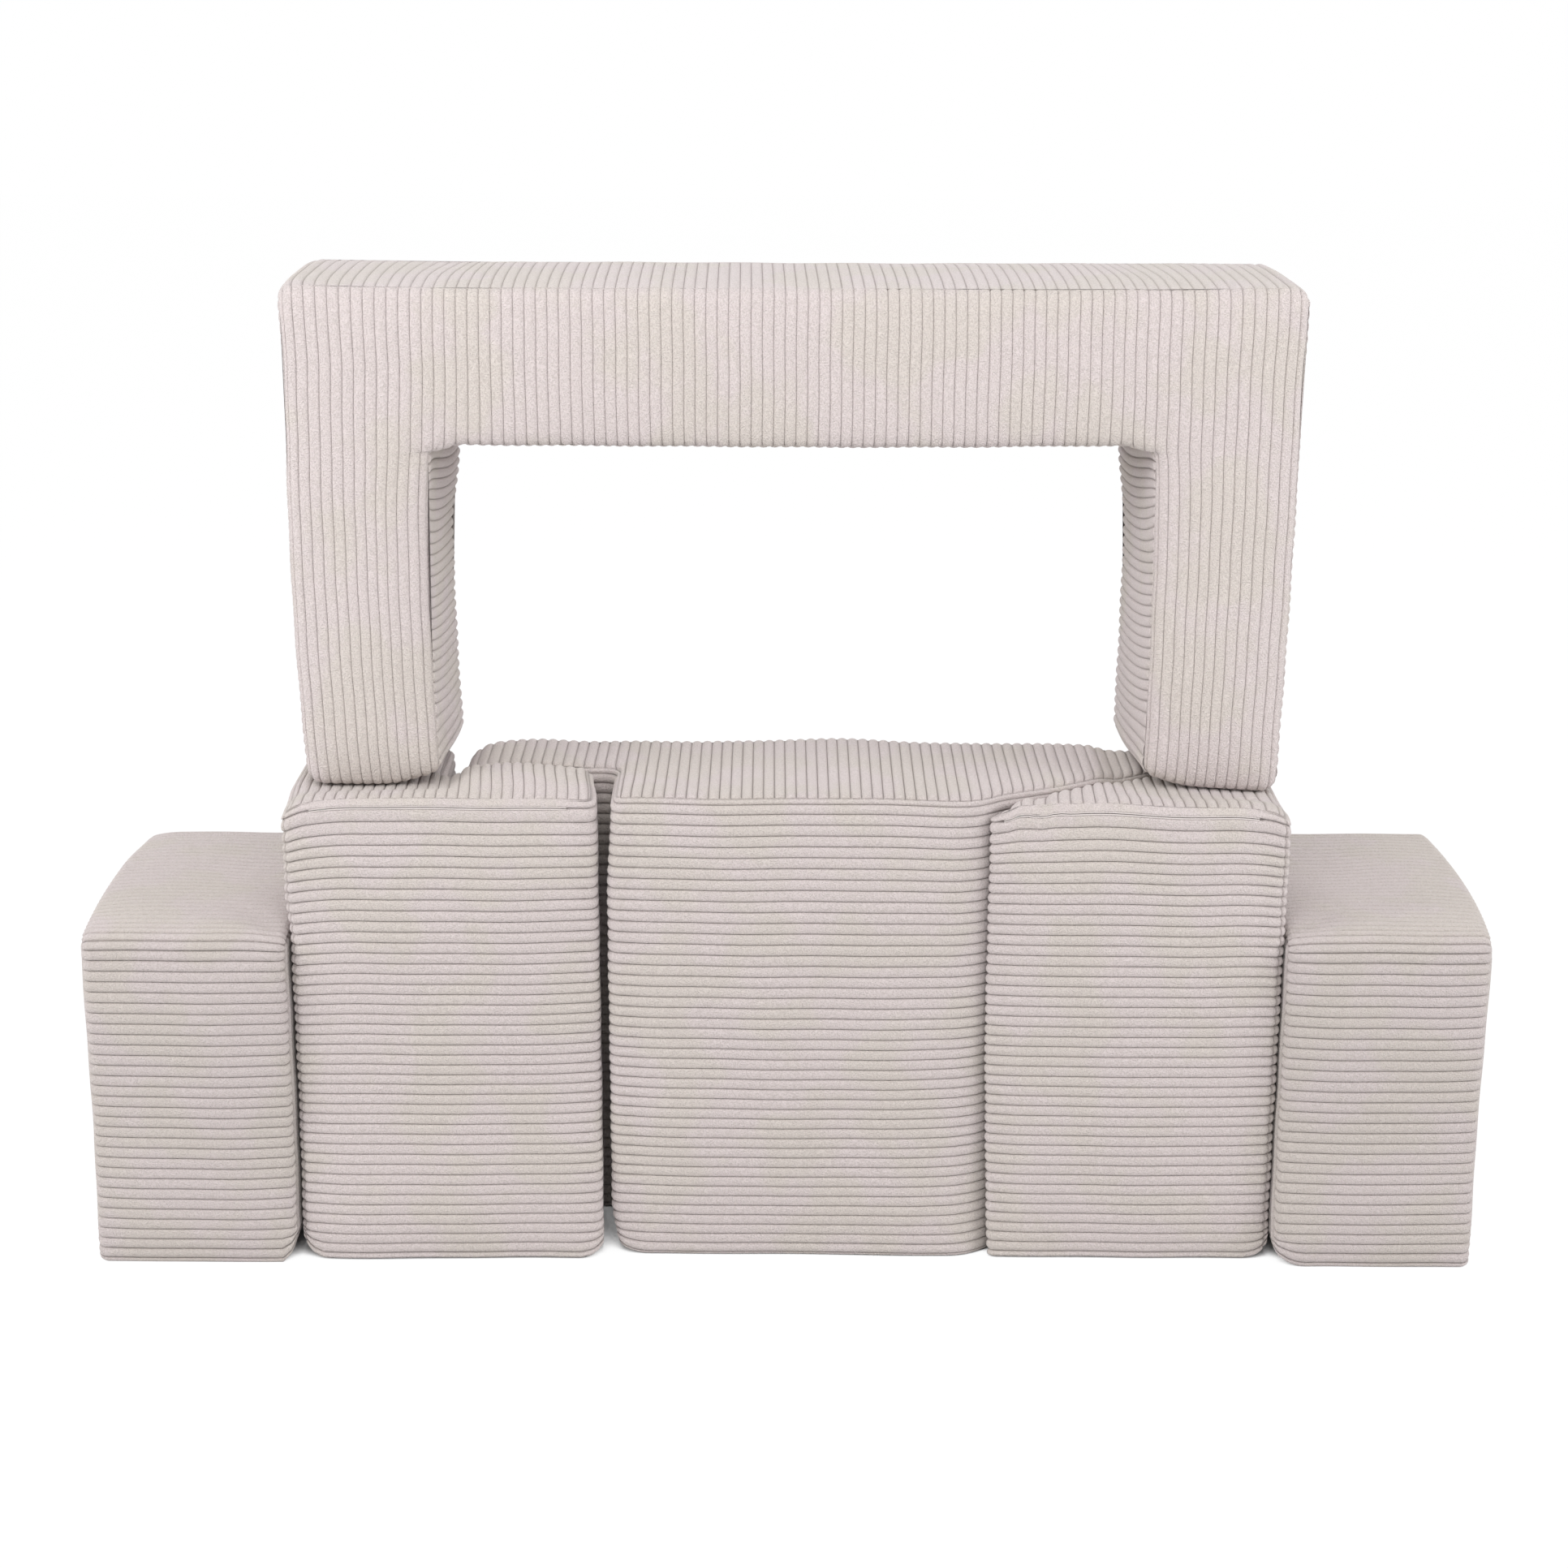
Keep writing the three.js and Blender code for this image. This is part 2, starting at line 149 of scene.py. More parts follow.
class Outline:
    """Anticlockwise corners of a block's section, each (x, y, round, swell of the side after it).

    spans are the real lengths of each arc and each side in turn, and marks and stations say
    where each starts, as distances run round the outline and as stations.
    """

    def __init__(self, corners):
        self.place = np.array([c[:2] for c in corners], float)
        self.round = np.array([c[2] for c in corners], float)
        self.swell = np.array([c[3] if len(c) > 3 else 0.0 for c in corners], float)
        after = np.roll(self.place, -1, 0) - self.place
        self.length = np.linalg.norm(after, axis=1)
        self.along = after / self.length[:, None]
        self.outward = np.stack([self.along[:, 1], -self.along[:, 0]], 1)
        before = np.roll(self.along, 1, 0)
        cross = before[:, 0] * self.along[:, 1] - before[:, 1] * self.along[:, 0]
        self.turn = np.arctan2(cross, (before * self.along).sum(1))

        faced = np.roll(self.outward, 1, 0)
        self.first = np.arctan2(faced[:, 1], faced[:, 0])
        self.mitre = (faced + self.outward) / (1 + (faced * self.outward).sum(1))[:, None]

        numbers = np.arange(len(self.place))
        bends = np.abs(self.arcs(0)[1] * self.turn)
        straight = self.ring(0, numbers + 1.0) - self.ring(0, numbers + 0.5)
        self.spans = np.stack([bends, np.linalg.norm(straight, axis=1)], 1).ravel()
        self.marks = np.concatenate([[0], np.cumsum(self.spans)])
        self.stations = np.arange(len(self.marks)) / 2
        self.whole = self.marks[-1]

    def arcs(self, inset):
        """Centre and signed radius of each corner's arc, drawn in by inset."""
        bend = np.sign(self.turn)
        convex = np.maximum(self.round - inset, LEAST_ROUND)
        radius = np.where(bend > 0, convex, self.round + inset) * bend
        return self.place + self.mitre * (-inset - radius)[:, None], radius

    def ring(self, inset, stations):
        """Points at stations: i to i + 0.5 run round corner i, and on to i + 1 along its side."""
        centre, radius = self.arcs(inset)
        i = np.floor(stations).astype(int) % len(self.place)
        share = stations - np.floor(stations)

        def on_arc(corner, part):
            angle = self.first[corner] + self.turn[corner] * part
            arm = np.stack([np.cos(angle), np.sin(angle)], -1)
            return centre[corner] + arm * radius[corner][..., None]

        following = (i + 1) % len(self.place)
        side = np.clip(2 * share - 1, 0, 1)[:, None]
        on_side = on_arc(i, np.ones_like(share)) * (1 - side) + on_arc(following, 0 * share) * side
        return np.where((share < 0.5)[:, None], on_arc(i, np.clip(2 * share, 0, 1)), on_side)

    def away(self, stations, station):
        """How far stations lie from one of them, the shorter way round the outline."""
        distance = self.run(stations) - self.run(np.array([station]))
        return np.abs((distance + self.whole / 2) % self.whole - self.whole / 2)

    def at_length(self, length):
        """Stations at lengths run round the outline."""
        return np.interp(length % self.whole, self.marks, self.stations)

    def even(self, step, arc_steps):
        """Stations at even steps along each side and round each corner."""
        stations = []
        for i, straight in enumerate(self.spans[1::2]):
            count = max(2, round(straight / step))
            stations += list(i + np.arange(arc_steps) / arc_steps / 2)
            stations += list(i + 0.5 + np.arange(count) / count / 2)
        return np.array(stations)

    def run(self, stations):
        """Distance run round the outline at stations."""
        return np.interp(stations % len(self.place), self.stations, self.marks)


def from_loop(points, loop):
    """Distance of points from an anticlockwise loop, and the way in from its nearest side."""
    best = np.full(len(points), np.inf)
    inward = np.zeros_like(points)
    for a, b in zip(loop, np.roll(loop, -1, 0)):
        ab = b - a
        share = np.clip((points - a) @ ab / max(ab @ ab, 1e-18), 0, 1)
        distance = np.linalg.norm(points - a - share[:, None] * ab, axis=1)
        closer = distance < best
        best[closer] = distance[closer]
        inward[closer] = np.array([-ab[1], ab[0]]) / max(np.linalg.norm(ab), 1e-9)
    return best, inward


def crossings(loop, x):
    """Lowest and highest place where the line at x crosses a closed loop."""
    low, high = np.inf, -np.inf
    for a, b in zip(loop, np.roll(loop, -1, 0)):
        if min(a[0], b[0]) <= x <= max(a[0], b[0]):
            if abs(b[0] - a[0]) < 1e-12:
                heights = (a[1], b[1])
            else:
                heights = (a[1] + (b[1] - a[1]) * (x - a[0]) / (b[0] - a[0]),)
            low, high = min(low, *heights), max(high, *heights)
    return low, high


def graded(length, step):
    """Distances from end to end, closer together at both ends."""
    ends = np.array([d for d in END_STEPS if d < length / 3])
    count = max(2, round((length - 2 * ends[-1]) / step))
    middle = np.linspace(ends[-1], length - ends[-1], count + 1)[1:-1]
    return np.concatenate([ends, middle, (length - ends)[::-1]])


def rows_between(low, high, reach, step):
    """Rows of places from low to high, spaced as they are over a reach."""
    return low + (graded(reach, step) / reach)[:, None] * (high - low)


def wale_marks(start, end, pitch, phase):
    """Distances from start to end at which wales of that pitch are modelled, and their shares."""
    first = math.floor((start - phase) / pitch) - 1
    last = math.ceil((end - phase) / pitch) + 1
    share = np.tile(WALE_SHARES, last - first)
    mark = phase + pitch * (np.repeat(np.arange(first, last), len(WALE_SHARES)) + share)
    inside = (mark > start + 0.3 * MM) & (mark < end - 0.3 * MM)
    return mark[inside], share[inside]


def wale_height(share, roundness):
    """0 on top of a wale, and -1 in its groove."""
    return np.sqrt(1 - np.abs(2 * share - 1) ** roundness) - 1


# Blocks


class Block:
    """A padded block: a band round its outline, and a panel over each end of the band.

    wales is "round" where the band's wales run round the block, and "across" where they run
    from end to end. rounds are the roundings of the two ends, and seam is the angle round them
    at which the band meets a panel. Each jump (x, way) is a side of the outline at x past which,
    in the way's sense, the panels are long; elsewhere they keep their upper or lower part.
    joined says where a panel runs on into the band with no seam, from 0 to 1, and shape moves
    points of the whole block in the frame. uprights are the stations with a seam from end to
    end, and pinches are how deep the seams of the two ends sink.
    """

    DEFAULTS = {
        "rounds": (SEAM_ROUND, SEAM_ROUND), "seam": PANEL_SEAM, "jumps": (), "uprights": (),
        "pinches": (SEAM_DEPTH, SEAM_DEPTH), "keeps": "upper", "domes": (0.0, 0.0),
        "wale_depth": lambda at: WALE_DEPTH, "joined": lambda at: 0.0, "drape": lambda at: 0.0,
    }

    def __init__(self, name, corners, length, axes, origin, wales, **more):
        self.name = name
        self.outline = Outline(corners)
        self.length = length
        self.axes = np.array(axes, float)
        self.origin = np.array(origin, float)
        self.wales = wales
        for fact, value in {**self.DEFAULTS, **more}.items():
            setattr(self, fact, value)
        self.column_phase = 0.0
        whole = self.outline.whole
        self.pitch = whole / round(whole / WALE) if wales == "across" else WALE
        self.zip_ends, self.zip_height = self.beside_zip("_zip")
        self.zip_run = self.zip_height - self.rounds[0] * (1 - self.seam)
        self.plackets = self.zip_height > length / 2

    def beside_zip(self, piece):
        """Where a part of the zip starts and ends along its side, and its height."""
        low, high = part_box(self.name + piece)
        ends = (np.array([low, high]) - self.origin) @ self.axes.T
        along = (ends[:, :2] - self.outline.place[self.zip_side]) @ self.outline.along[self.zip_side]
        return np.sort(along), ends[:, 2].mean()

    def place(self, local):
        return self.origin + local @ self.axes

    def rise(self, height):
        """Share of the way up the straight part of the band, from 0 to 1."""
        low, high = self.rounds
        return np.clip((height - low) / (self.length - low - high), 0, 1)


def band_profile(block, run):
    """Inset and height of the band at distances run from its lower seam."""
    low_round, high_round = block.rounds
    low_roll, high_roll = low_round * block.seam, high_round * block.seam
    straight = block.length - low_round - high_round
    low = np.clip(low_roll - run, 0, low_roll) / low_round
    high = np.clip(run - low_roll - straight, 0, high_roll) / high_round
    inset = low_round * (1 - np.cos(low)) + high_round * (1 - np.cos(high))
    rise = np.clip(run - low_roll, 0, straight)
    return inset, low_round * (1 - np.sin(low)) + rise + high_round * np.sin(high)


def band(block, fine):
    """The band's points, rows by stations, and what each knows of itself."""
    outline, total = block.outline, block.length - sum(block.rounds) * (1 - block.seam)
    if not fine:
        run = np.linspace(0, total, 1 + round(total / COARSE_STEP))
        stations = outline.even(COARSE_STEP, COARSE_ARC)
        wale = np.full((1, 1), 0.5)
    elif block.wales == "round":
        marks, shares = wale_marks(0, total, WALE, block.zip_run)
        run = np.concatenate([[0], marks, [total]])
        wale = np.concatenate([[0], shares, [0]])
        stations = outline.even(FINE_STEP, FINE_ARC)
        for station in block.uprights:
            here = outline.run(np.array([station]))
            ends = np.concatenate([here - END_STEPS, here + END_STEPS[1:]])
            near = outline.away(stations, station) < END_STEPS[-1]
            stations = np.sort(np.append(stations[~near], outline.at_length(ends)))
    else:
        count = round(outline.whole / block.pitch)
        shares = np.tile(WALE_SHARES, count)
        whole = np.repeat(np.arange(count), len(WALE_SHARES))
        stations = outline.at_length(block.pitch * (whole + shares))
        order = np.argsort(stations)
        stations = stations[order]
        wale = np.append(shares[order], shares[order[0]])[None, :]
        run = graded(total, FINE_STEP)
    if fine:
        clear = np.abs(run - block.zip_run) > -ZIP_ROWS[0] * MM
        pocket = np.array(ZIP_ROWS) * MM
        run = np.concatenate([run[clear], block.zip_run + pocket])
        order = np.argsort(run)
        run = run[order]
        if block.wales == "round":
            wale = np.concatenate([wale[clear], (pocket / WALE) % 1])[order][:, None]
    stations = np.append(stations, stations[0] + len(outline.place))
    inset, height = band_profile(block, run)
    rings = [outline.ring(a, stations) for a in inset]
    local = np.stack([np.column_stack([xy, np.full(len(xy), h)]) for xy, h in zip(rings, height)])
    side = np.floor(stations) % len(outline.place)
    along = np.clip(2 * (stations - np.floor(stations)) - 1, 0, 1)
    upright = np.full(len(stations), 1.0)
    for station in block.uprights:
        upright = np.minimum(upright, outline.away(stations, station))
    return {
        "local": local, "wale": wale, "side": side[None, :], "along": along[None, :],
        "seam": np.minimum(run, total - run)[:, None], "rim": 0.0,
        "rise": block.rise(height)[:, None], "run": run[:, None], "panel": 0.0,
        "upright": upright[None, :], "upper": (height > block.length / 2)[:, None] * 1.0,
    }


def panel(block, top, fine):
    """An end panel's points: drawn on the flat, then rolled over the end's rounding."""
    end_round = block.rounds[top]
    roll = end_round * (math.pi / 2 - block.seam) - SEAM_GAP
    inset = end_round - roll
    edge = block.outline.ring(inset, block.outline.even(1.0, FINE_ARC * 2))
    left, right = edge[:, 0].min(), edge[:, 0].max()
    jumps = [x + way * inset for x, way in block.jumps]
    if fine:
        columns, wale = wale_marks(left, right, block.pitch, block.column_phase)
    else:
        columns = np.linspace(left, right, 2 + round((right - left) / COARSE_STEP))[1:-1]
        wale = np.full(len(columns), 0.5)
    marks = np.array([left, right, *jumps])
    clear = np.all(np.abs(columns[:, None] - marks) > LEAST_STEP, axis=1)
    columns = np.append(columns[clear], marks)
    wale = np.append(wale[clear], ((marks - block.column_phase) / block.pitch) % 1)
    order = np.argsort(columns)
    columns, wale = columns[order], wale[order]
    inner = np.clip(columns, left + TOUCH, right - TOUCH)
    low, high = np.array([crossings(edge, x) for x in inner]).T
    pointed = high - low < FINE_STEP / 4
    low[pointed] = high[pointed] = (low[pointed] + high[pointed]) / 2
    step = FINE_STEP if fine else COARSE_STEP
    reach = (high - low).max()
    if jumps:
        ways = np.array([way for x, way in block.jumps])
        short = np.all((columns[:, None] - jumps) * ways < 0, axis=1)
        jump = np.searchsorted(columns, jumps[0])
        beside = jump + (1 if short[jump + 1] else -1)
        kept = low if block.keeps == "upper" else high
        share = (kept[beside] - low[jump]) / (high[jump] - low[jump])
        middle = low + (high - low) * share
        middle[short] = kept[short]
        lower = rows_between(low, middle, reach * share, step)
        y = np.concatenate([lower, rows_between(middle, high, reach * (1 - share), step)[1:]])
        rows = np.arange(len(y))[:, None]
        lost = rows < len(lower) - 1 if block.keeps == "upper" else rows > len(lower) - 1
        gone = short & lost
    else:
        y = rows_between(low, high, reach, step)
        gone = np.zeros(y.shape, bool)
    flat = np.stack([np.broadcast_to(columns, y.shape), y], -1).reshape(-1, 2)
    seam, inward = from_loop(flat, edge)
    angle = np.clip(roll - seam, 0, None) / end_round
    draw_in = end_round * (1 - np.sin(angle)) - np.minimum(inset + seam, end_round)
    flat += inward * draw_in[:, None]
    drop = end_round * (1 - np.cos(angle))
    height = block.length - drop if top else drop
    return {
        "local": np.column_stack([flat, height]).reshape(*y.shape, 3),
        "wale": wale[None, :], "side": -1.0, "along": 0.0, "seam": seam.reshape(y.shape),
        "rim": np.clip(seam - roll, 0, None).reshape(y.shape), "rise": float(top),
        "run": -1.0, "panel": 1.0 if top else -1.0, "gone": gone, "upright": 1.0,
        "upper": float(top),
    }


class Surface:
    """What every point of a block's cover knows, as one array for each fact."""

    def __init__(self, parts, home):
        for fact in "wale side along seam upright upper rim rise run panel".split():
            whole = [np.broadcast_to(p[fact], p["local"].shape[:2]).ravel() for p in parts]
            setattr(self, fact, np.concatenate(whole)[home])
        self.local = np.concatenate([p["local"].reshape(-1, 3) for p in parts])[home]
        self.x, self.y, self.z = self.local.T
        self.pressed = None


def lay(bm, part, start, home):
    """A grid of quads over the part's points; each new point keeps its number."""
    rows, columns = part["local"].shape[:2]
    made = bmesh.ops.create_grid(bm, x_segments=columns - 1, y_segments=rows - 1, size=0.5)["verts"]
    local = part["local"].reshape(-1, 3).tolist()
    gone = part.get("gone")
    lost = []
    for vert in made:
        column = round((vert.co.x + 0.5) * (columns - 1))
        row = round((vert.co.y + 0.5) * (rows - 1))
        vert.co = local[row * columns + column]
        vert[home] = start + row * columns + column
        if gone is not None and gone[row, column]:
            lost.append(vert)
    kept = set(made) - set(lost)
    bmesh.ops.delete(bm, geom=lost, context="VERTS")
    return kept


def shell(block, fine):
    """The block's closed skin as a mesh in the block's own frame, and what its points know."""
    bm = bmesh.new()
    home = bm.verts.layers.int.new("home")
    parts = [band(block, fine), panel(block, False, fine), panel(block, True, fine)]
    start = 0
    for part in parts:
        kept = lay(bm, part, start, home)
        rims = [v for v in kept if v.is_boundary]
        bmesh.ops.remove_doubles(bm, verts=rims, dist=TOUCH)
        start += part["local"][..., 0].size
    middle = block.length / 2
    for above in (False, True):
        rims = [e for e in bm.edges if e.is_boundary and (e.verts[0].co.z > middle) == above]
        bmesh.ops.bridge_loops(bm, edges=rims)
    bmesh.ops.recalc_face_normals(bm, faces=bm.faces)
    if bm.calc_volume(signed=True) < 0:
        bmesh.ops.reverse_faces(bm, faces=bm.faces)
    mesh = finished(bm, block.name)
    home = mesh.attributes["home"]
    at = Surface(parts, read(home.data, "value", 1, np.int32))
    mesh.attributes.remove(home)
    return mesh, at


def finished(bm, name):
    mesh = bpy.data.meshes.new(name)
    bm.to_mesh(mesh)
    bm.free()
    mesh.shade_smooth()
    return mesh


def read(collection, attribute, width, kind=np.float32):
    flat = np.zeros(len(collection) * width, kind)
    collection.foreach_get(attribute, flat)
    return flat.reshape(-1, width) if width > 1 else flat


def smooth(low, high, value):
    share = np.clip((value - low) / (high - low), 0, 1)
    return share * share * (3 - 2 * share)


def plateau(value, low, high, soft):
    """1 from low to high, falling to 0 over soft outside them."""
    return smooth(low - soft, low, value) * smooth(high + soft, high, value)


def hump(share):
    return 4 * share * (1 - share)


def hill(value, middle, reach):
    return np.exp(-(((value - middle) / reach) ** 2))


def pillow(share):
    """0 at both ends of a side and 1 over most of it."""
    return 1 - np.abs(2 * share - 1) ** PILLOW


def swell(block, at):
    """Crown of the block's free faces: each stands out past its edges."""
    side = at.side.astype(int)
    share = np.clip(at.rim / DOME_WIDTH, 0, 1)
    crown = np.where(at.panel == 0, pillow(at.along) * pillow(at.rise), share * (2 - share))
    if at.pressed is not None:
        crown = crown * (1 - CLOTH_SHARE) + at.pressed * CLOTH_SHARE
    move = np.zeros((len(side), 3))
    push = crown * block.outline.swell[side] * (at.panel == 0)
    move[:, :2] = block.outline.outward[side] * push[:, None]
    move[:, 2] = crown * (block.domes[1] * (at.panel > 0) - block.domes[0] * (at.panel < 0))
    return move


def inflate(block):
    """Where pressure pushes the cloth of the block, pinned at its seams: a tree of the faces of
    its simple skin, the skin's mesh and how far each of its points moves, 1 at the most."""
    mesh, at = shell(block, False)
    skin = add_object(block.name + "_skin", mesh)
    pinned = np.linalg.norm(swell(block, at), axis=1) < TOUCH
    group = skin.vertex_groups.new(name="pinned")
    group.add(np.flatnonzero(pinned).tolist(), 1.0, "REPLACE")
    cloth = skin.modifiers.new("pressure", "CLOTH")
    cloth.settings.vertex_group_mass = group.name
    cloth.settings.use_pressure = True
    cloth.settings.uniform_pressure_force = CLOTH_PRESSURE
    cloth.settings.effector_weights.gravity = 0
    cloth.point_cache.frame_end = CLOTH_FRAMES
    for frame in range(1, CLOTH_FRAMES + 1):
        bpy.context.scene.frame_set(frame)
    pressed = skin.evaluated_get(bpy.context.evaluated_depsgraph_get()).to_mesh()
    rest = read(mesh.vertices, "co", 3)
    push = ((read(pressed.vertices, "co", 3) - rest) * read(mesh.vertex_normals, "vector", 3)).sum(1)
    push = CLOTH_REACH * np.tanh(np.clip(push, 0, None) / CLOTH_REACH)
    bpy.context.scene.frame_set(1)
    bpy.data.objects.remove(skin)
    tree = BVHTree.FromPolygons(rest.tolist(), [list(p.vertices) for p in mesh.polygons])
    return tree, mesh, push / push.max()


def pressed_at(block, at):
    """The simulated push at each point of the block's cover."""
    tree, mesh, push = inflate(block)
    pressed = np.zeros(len(at.local))
    for i, point in enumerate(at.local.tolist()):
        place, normal, face, distance = tree.find_nearest(point)
        corners = mesh.polygons[face].vertices
        shares = poly_3d_calc([mesh.vertices[v].co for v in corners], place)
        pressed[i] = sum(push[v] * share for v, share in zip(corners, shares))
    bpy.data.meshes.remove(mesh)
    return pressed


def near_zip(block, at, soft):
    """1 over the zip's length on and above its side, falling to 0 over soft past its ends."""
    away = at.local[:, :2] - block.outline.place[block.zip_side]
    distance = away @ block.outline.along[block.zip_side]
    beside = away @ block.outline.outward[block.zip_side] > -2 * block.rounds[1]
    return beside * plateau(distance, *block.zip_ends, soft)


def placket(block, at):
    """1 on the plain strip from the zip to the seam above it."""
    above = (at.side == block.zip_side) & (at.run - block.zip_run > -ZIP_ROWS[0] * MM - TOUCH)
    return near_zip(block, at, PLACKET_END) * above * block.plackets


def into_seam(groove, depth, distance, pinch):
    """Depth of a wale that rolls down into a seam at a distance."""
    share = np.clip(distance / (END_ROUND * (1 + NOTCH_SHARE * groove)), 0, 1)
    end = np.sqrt(1 - (1 - share) ** 2)
    return pinch + (depth - pinch) * end


def beside_edge(block, at):
    """1 at the corners of the band and at the seams, falling to 0 on the faces between them."""
    straight = block.outline.spans[1::2][at.side.astype(int)]
    from_corner = np.where(at.panel == 0, np.minimum(at.along, 1 - at.along) * straight, EDGE_REACH)
    from_seam = at.seam + EDGE_REACH * block.joined(at)
    return smooth(EDGE_REACH, 0, np.minimum(from_corner, from_seam))


def corduroy_depth(block, at):
    """How far each point lies under the tops of the wales."""
    edge = beside_edge(block, at)
    round_wale = wale_height(at.wale, EDGE_ROUNDNESS) * (1 + EDGE_DEPTH)
    groove = -(wale_height(at.wale, WALE_ROUNDNESS) * (1 - edge) + round_wale * edge)
    groove = groove * (1 - placket(block, at))
    pinch = np.where(at.upper > 0, block.pinches[1], block.pinches[0])
    pinch = pinch * (1 - near_zip(block, at, PLACKET_END) * at.upper * block.plackets)
    plain = block.wale_depth(at) * groove
    depth = into_seam(groove, plain, at.seam, pinch)
    depth += (plain - depth) * block.joined(at)
    return np.maximum(depth, into_seam(groove, plain, at.upright, SEAM_DEPTH))


def zip_pocket(block, at, depth):
    """Depth with the zip's pocket sunk in it, and how far its rows slide to hang its lips over."""
    beside = near_zip(block, at, ZIP_END) * (at.side == block.zip_side)
    row = (at.run - block.zip_run) / MM
    sunk = np.interp(row, ZIP_ROWS, ZIP_DEPTHS, 0, 0) * MM
    slide = np.interp(row, ZIP_ROWS, ZIP_PLACES) * MM - row * MM
    inside = beside * (np.abs(row) < -ZIP_ROWS[0] - 0.01)
    return depth * (1 - inside) + sunk * inside, slide * inside


def settle(block, mesh, place):
    """Moves the mesh's points to their places, sagged as the block is there."""
    mesh.vertices.foreach_set("co", sagged(block, place).astype(np.float32).ravel())
    mesh.update()


def add_object(name, data):
    holder = bpy.data.objects.new(name, data)
    bpy.context.scene.collection.objects.link(holder)
    return holder


def make_piece(name, mesh, material):
    piece = add_object(name, mesh)
    mesh.materials.append(material)
    return piece


def cover(block):
    """The block's corduroy cover as a mesh in its place."""
    mesh, at = shell(block, True)
    at.pressed = pressed_at(block, at)
    depth, slide = zip_pocket(block, at, corduroy_depth(block, at))
    local = at.local - read(mesh.vertex_normals, "vector", 3) * depth[:, None]
    local[:, 2] += slide
    local += swell(block, at) + block.drape(at)
    settle(block, mesh, block.place(local))
    # How deep each point lies under the wales' tops, 1 at most. The cloth's colour darkens with it
    # in the grooves, the seams and the zip's pocket: partly the darker base of the cloth between the
    # wales, partly painted shade in those hollows.
    valley = mesh.attributes.new("valley", "FLOAT", "POINT")
    valley.data.foreach_set("value", np.clip(depth / WALE_DEPTH, 0, 1).astype(np.float32))
    return mesh


def foam_block(block):
    """The block of foam in a block's cover, smaller all round by FOAM_DEPTH."""
    foam = copy(block)
    old = block.outline
    corners = old.place - old.mitre * FOAM_DEPTH
    rounds = np.maximum(old.round - FOAM_DEPTH * np.sign(old.turn), LEAST_ROUND)
    foam.outline = Outline(np.column_stack([corners, rounds, old.swell]))
    foam.length = block.length - 2 * FOAM_DEPTH
    foam.origin = block.place(np.array([0, 0, FOAM_DEPTH]))
    foam.jumps = [(x + way * FOAM_DEPTH, way) for x, way in block.jumps]
    return foam


def core(block):
    """The foam inside the block, with its skin under the cover's."""
    foam = foam_block(block)
    mesh, at = shell(foam, False)
    settle(block, mesh, foam.place(at.local + swell(foam, at)))
    return mesh


def carried(block, zip_points):
    """Places of points that lie (along, across, into) the zip, moved as the cover is there."""
    along, across, into = zip_points.T
    side, outline = block.zip_side, block.outline
    corner, way = outline.place[side], outline.along[side]
    start, end = (outline.ring(0, np.array([side + 0.5, side + 0.99])) - corner) @ way
    flat = corner + along[:, None] * way - into[:, None] * outline.outward[side]
    local = np.column_stack([flat, block.zip_height + across])
    at = SimpleNamespace(
        side=np.full(len(local), side), along=np.clip((along - start) / (end - start), 0, 1),
        rise=block.rise(local[:, 2]), rim=0.0, panel=np.zeros(len(local)), pressed=None,
    )
    return sagged(block, block.place(local + swell(block, at)))


def zip_piece(block, bm, name, material):
    """A finished piece from a mesh built in (along, across, into) the zip."""
    points = np.array([v.co[:] for v in bm.verts])
    for vert, place in zip(bm.verts, carried(block, points).tolist()):
        vert.co = place
    bmesh.ops.recalc_face_normals(bm, faces=bm.faces)
    return make_piece(name, finished(bm, name), material)


def bar(bm, low, high, cuts=0, bevel=0.0):
    """A box from low to high in mm, cut across its length and with its edges eased."""
    low, high = np.array(low) * MM, np.array(high) * MM
    made = bmesh.ops.create_cube(bm, size=1.0)["verts"]
    bmesh.ops.scale(bm, vec=high - low, verts=made)
    bmesh.ops.translate(bm, vec=(low + high) / 2, verts=made)
    edges = list({e for v in made for e in v.link_edges})
    if bevel:
        bmesh.ops.bevel(
            bm, geom=edges, offset=bevel * MM, segments=3, affect="EDGES", profile=0.5,
            material=-1,
        )
    elif cuts:
        long_ones = [e for e in edges if abs(e.verts[0].co.x - e.verts[1].co.x) > TOUCH]
        bmesh.ops.subdivide_edges(bm, edges=long_ones, cuts=cuts, use_grid_fill=True)


def zip_chain(block):
    """A woven tape with two rows of teeth meshed along it, and its edges folded over them."""
    bm = bmesh.new()
    start, end = block.zip_ends / MM
    cuts = round((end - start) / TAPE_PIECE)
    half, top, bottom = TAPE
    bar(bm, (start, -half, top), (end, half, bottom), cuts=cuts)
    length, half, top, bottom = TOOTH
    for i, tooth in enumerate(np.arange(start + TOOTH_PITCH, end - TOOTH_PITCH, TOOTH_PITCH)):
        side = TOOTH_REACH if i % 2 else -TOOTH_REACH
        bar(bm, (tooth - length, side - half, top), (tooth + length, side + half, bottom))
    near, far, top, bottom = TAPE_FOLD
    for low, high in ((-far, -near), (near, far)):
        bar(bm, (start - TAPE_TAIL, low, top), (end + TAPE_TAIL, high, bottom), cuts=cuts)
    return bm


def zip_slider(block):
    """The slider's two plates, the post between them and the puller tucked into the slit."""
    start, end = block.beside_zip("_zip_slider")[0] / MM
    bm = bmesh.new()
    for inset, half, top, bottom, bevel in SLIDER_BARS:
        bar(bm, (start + inset, -half, top), (end - inset, half, bottom), bevel=bevel)
    return bm


# How the blocks sag and bulge where they stand. All of this is in mm: moves, and the places that
# they are worked out from.


def extent(piece):
    low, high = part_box(piece)
    return low / MM, high / MM


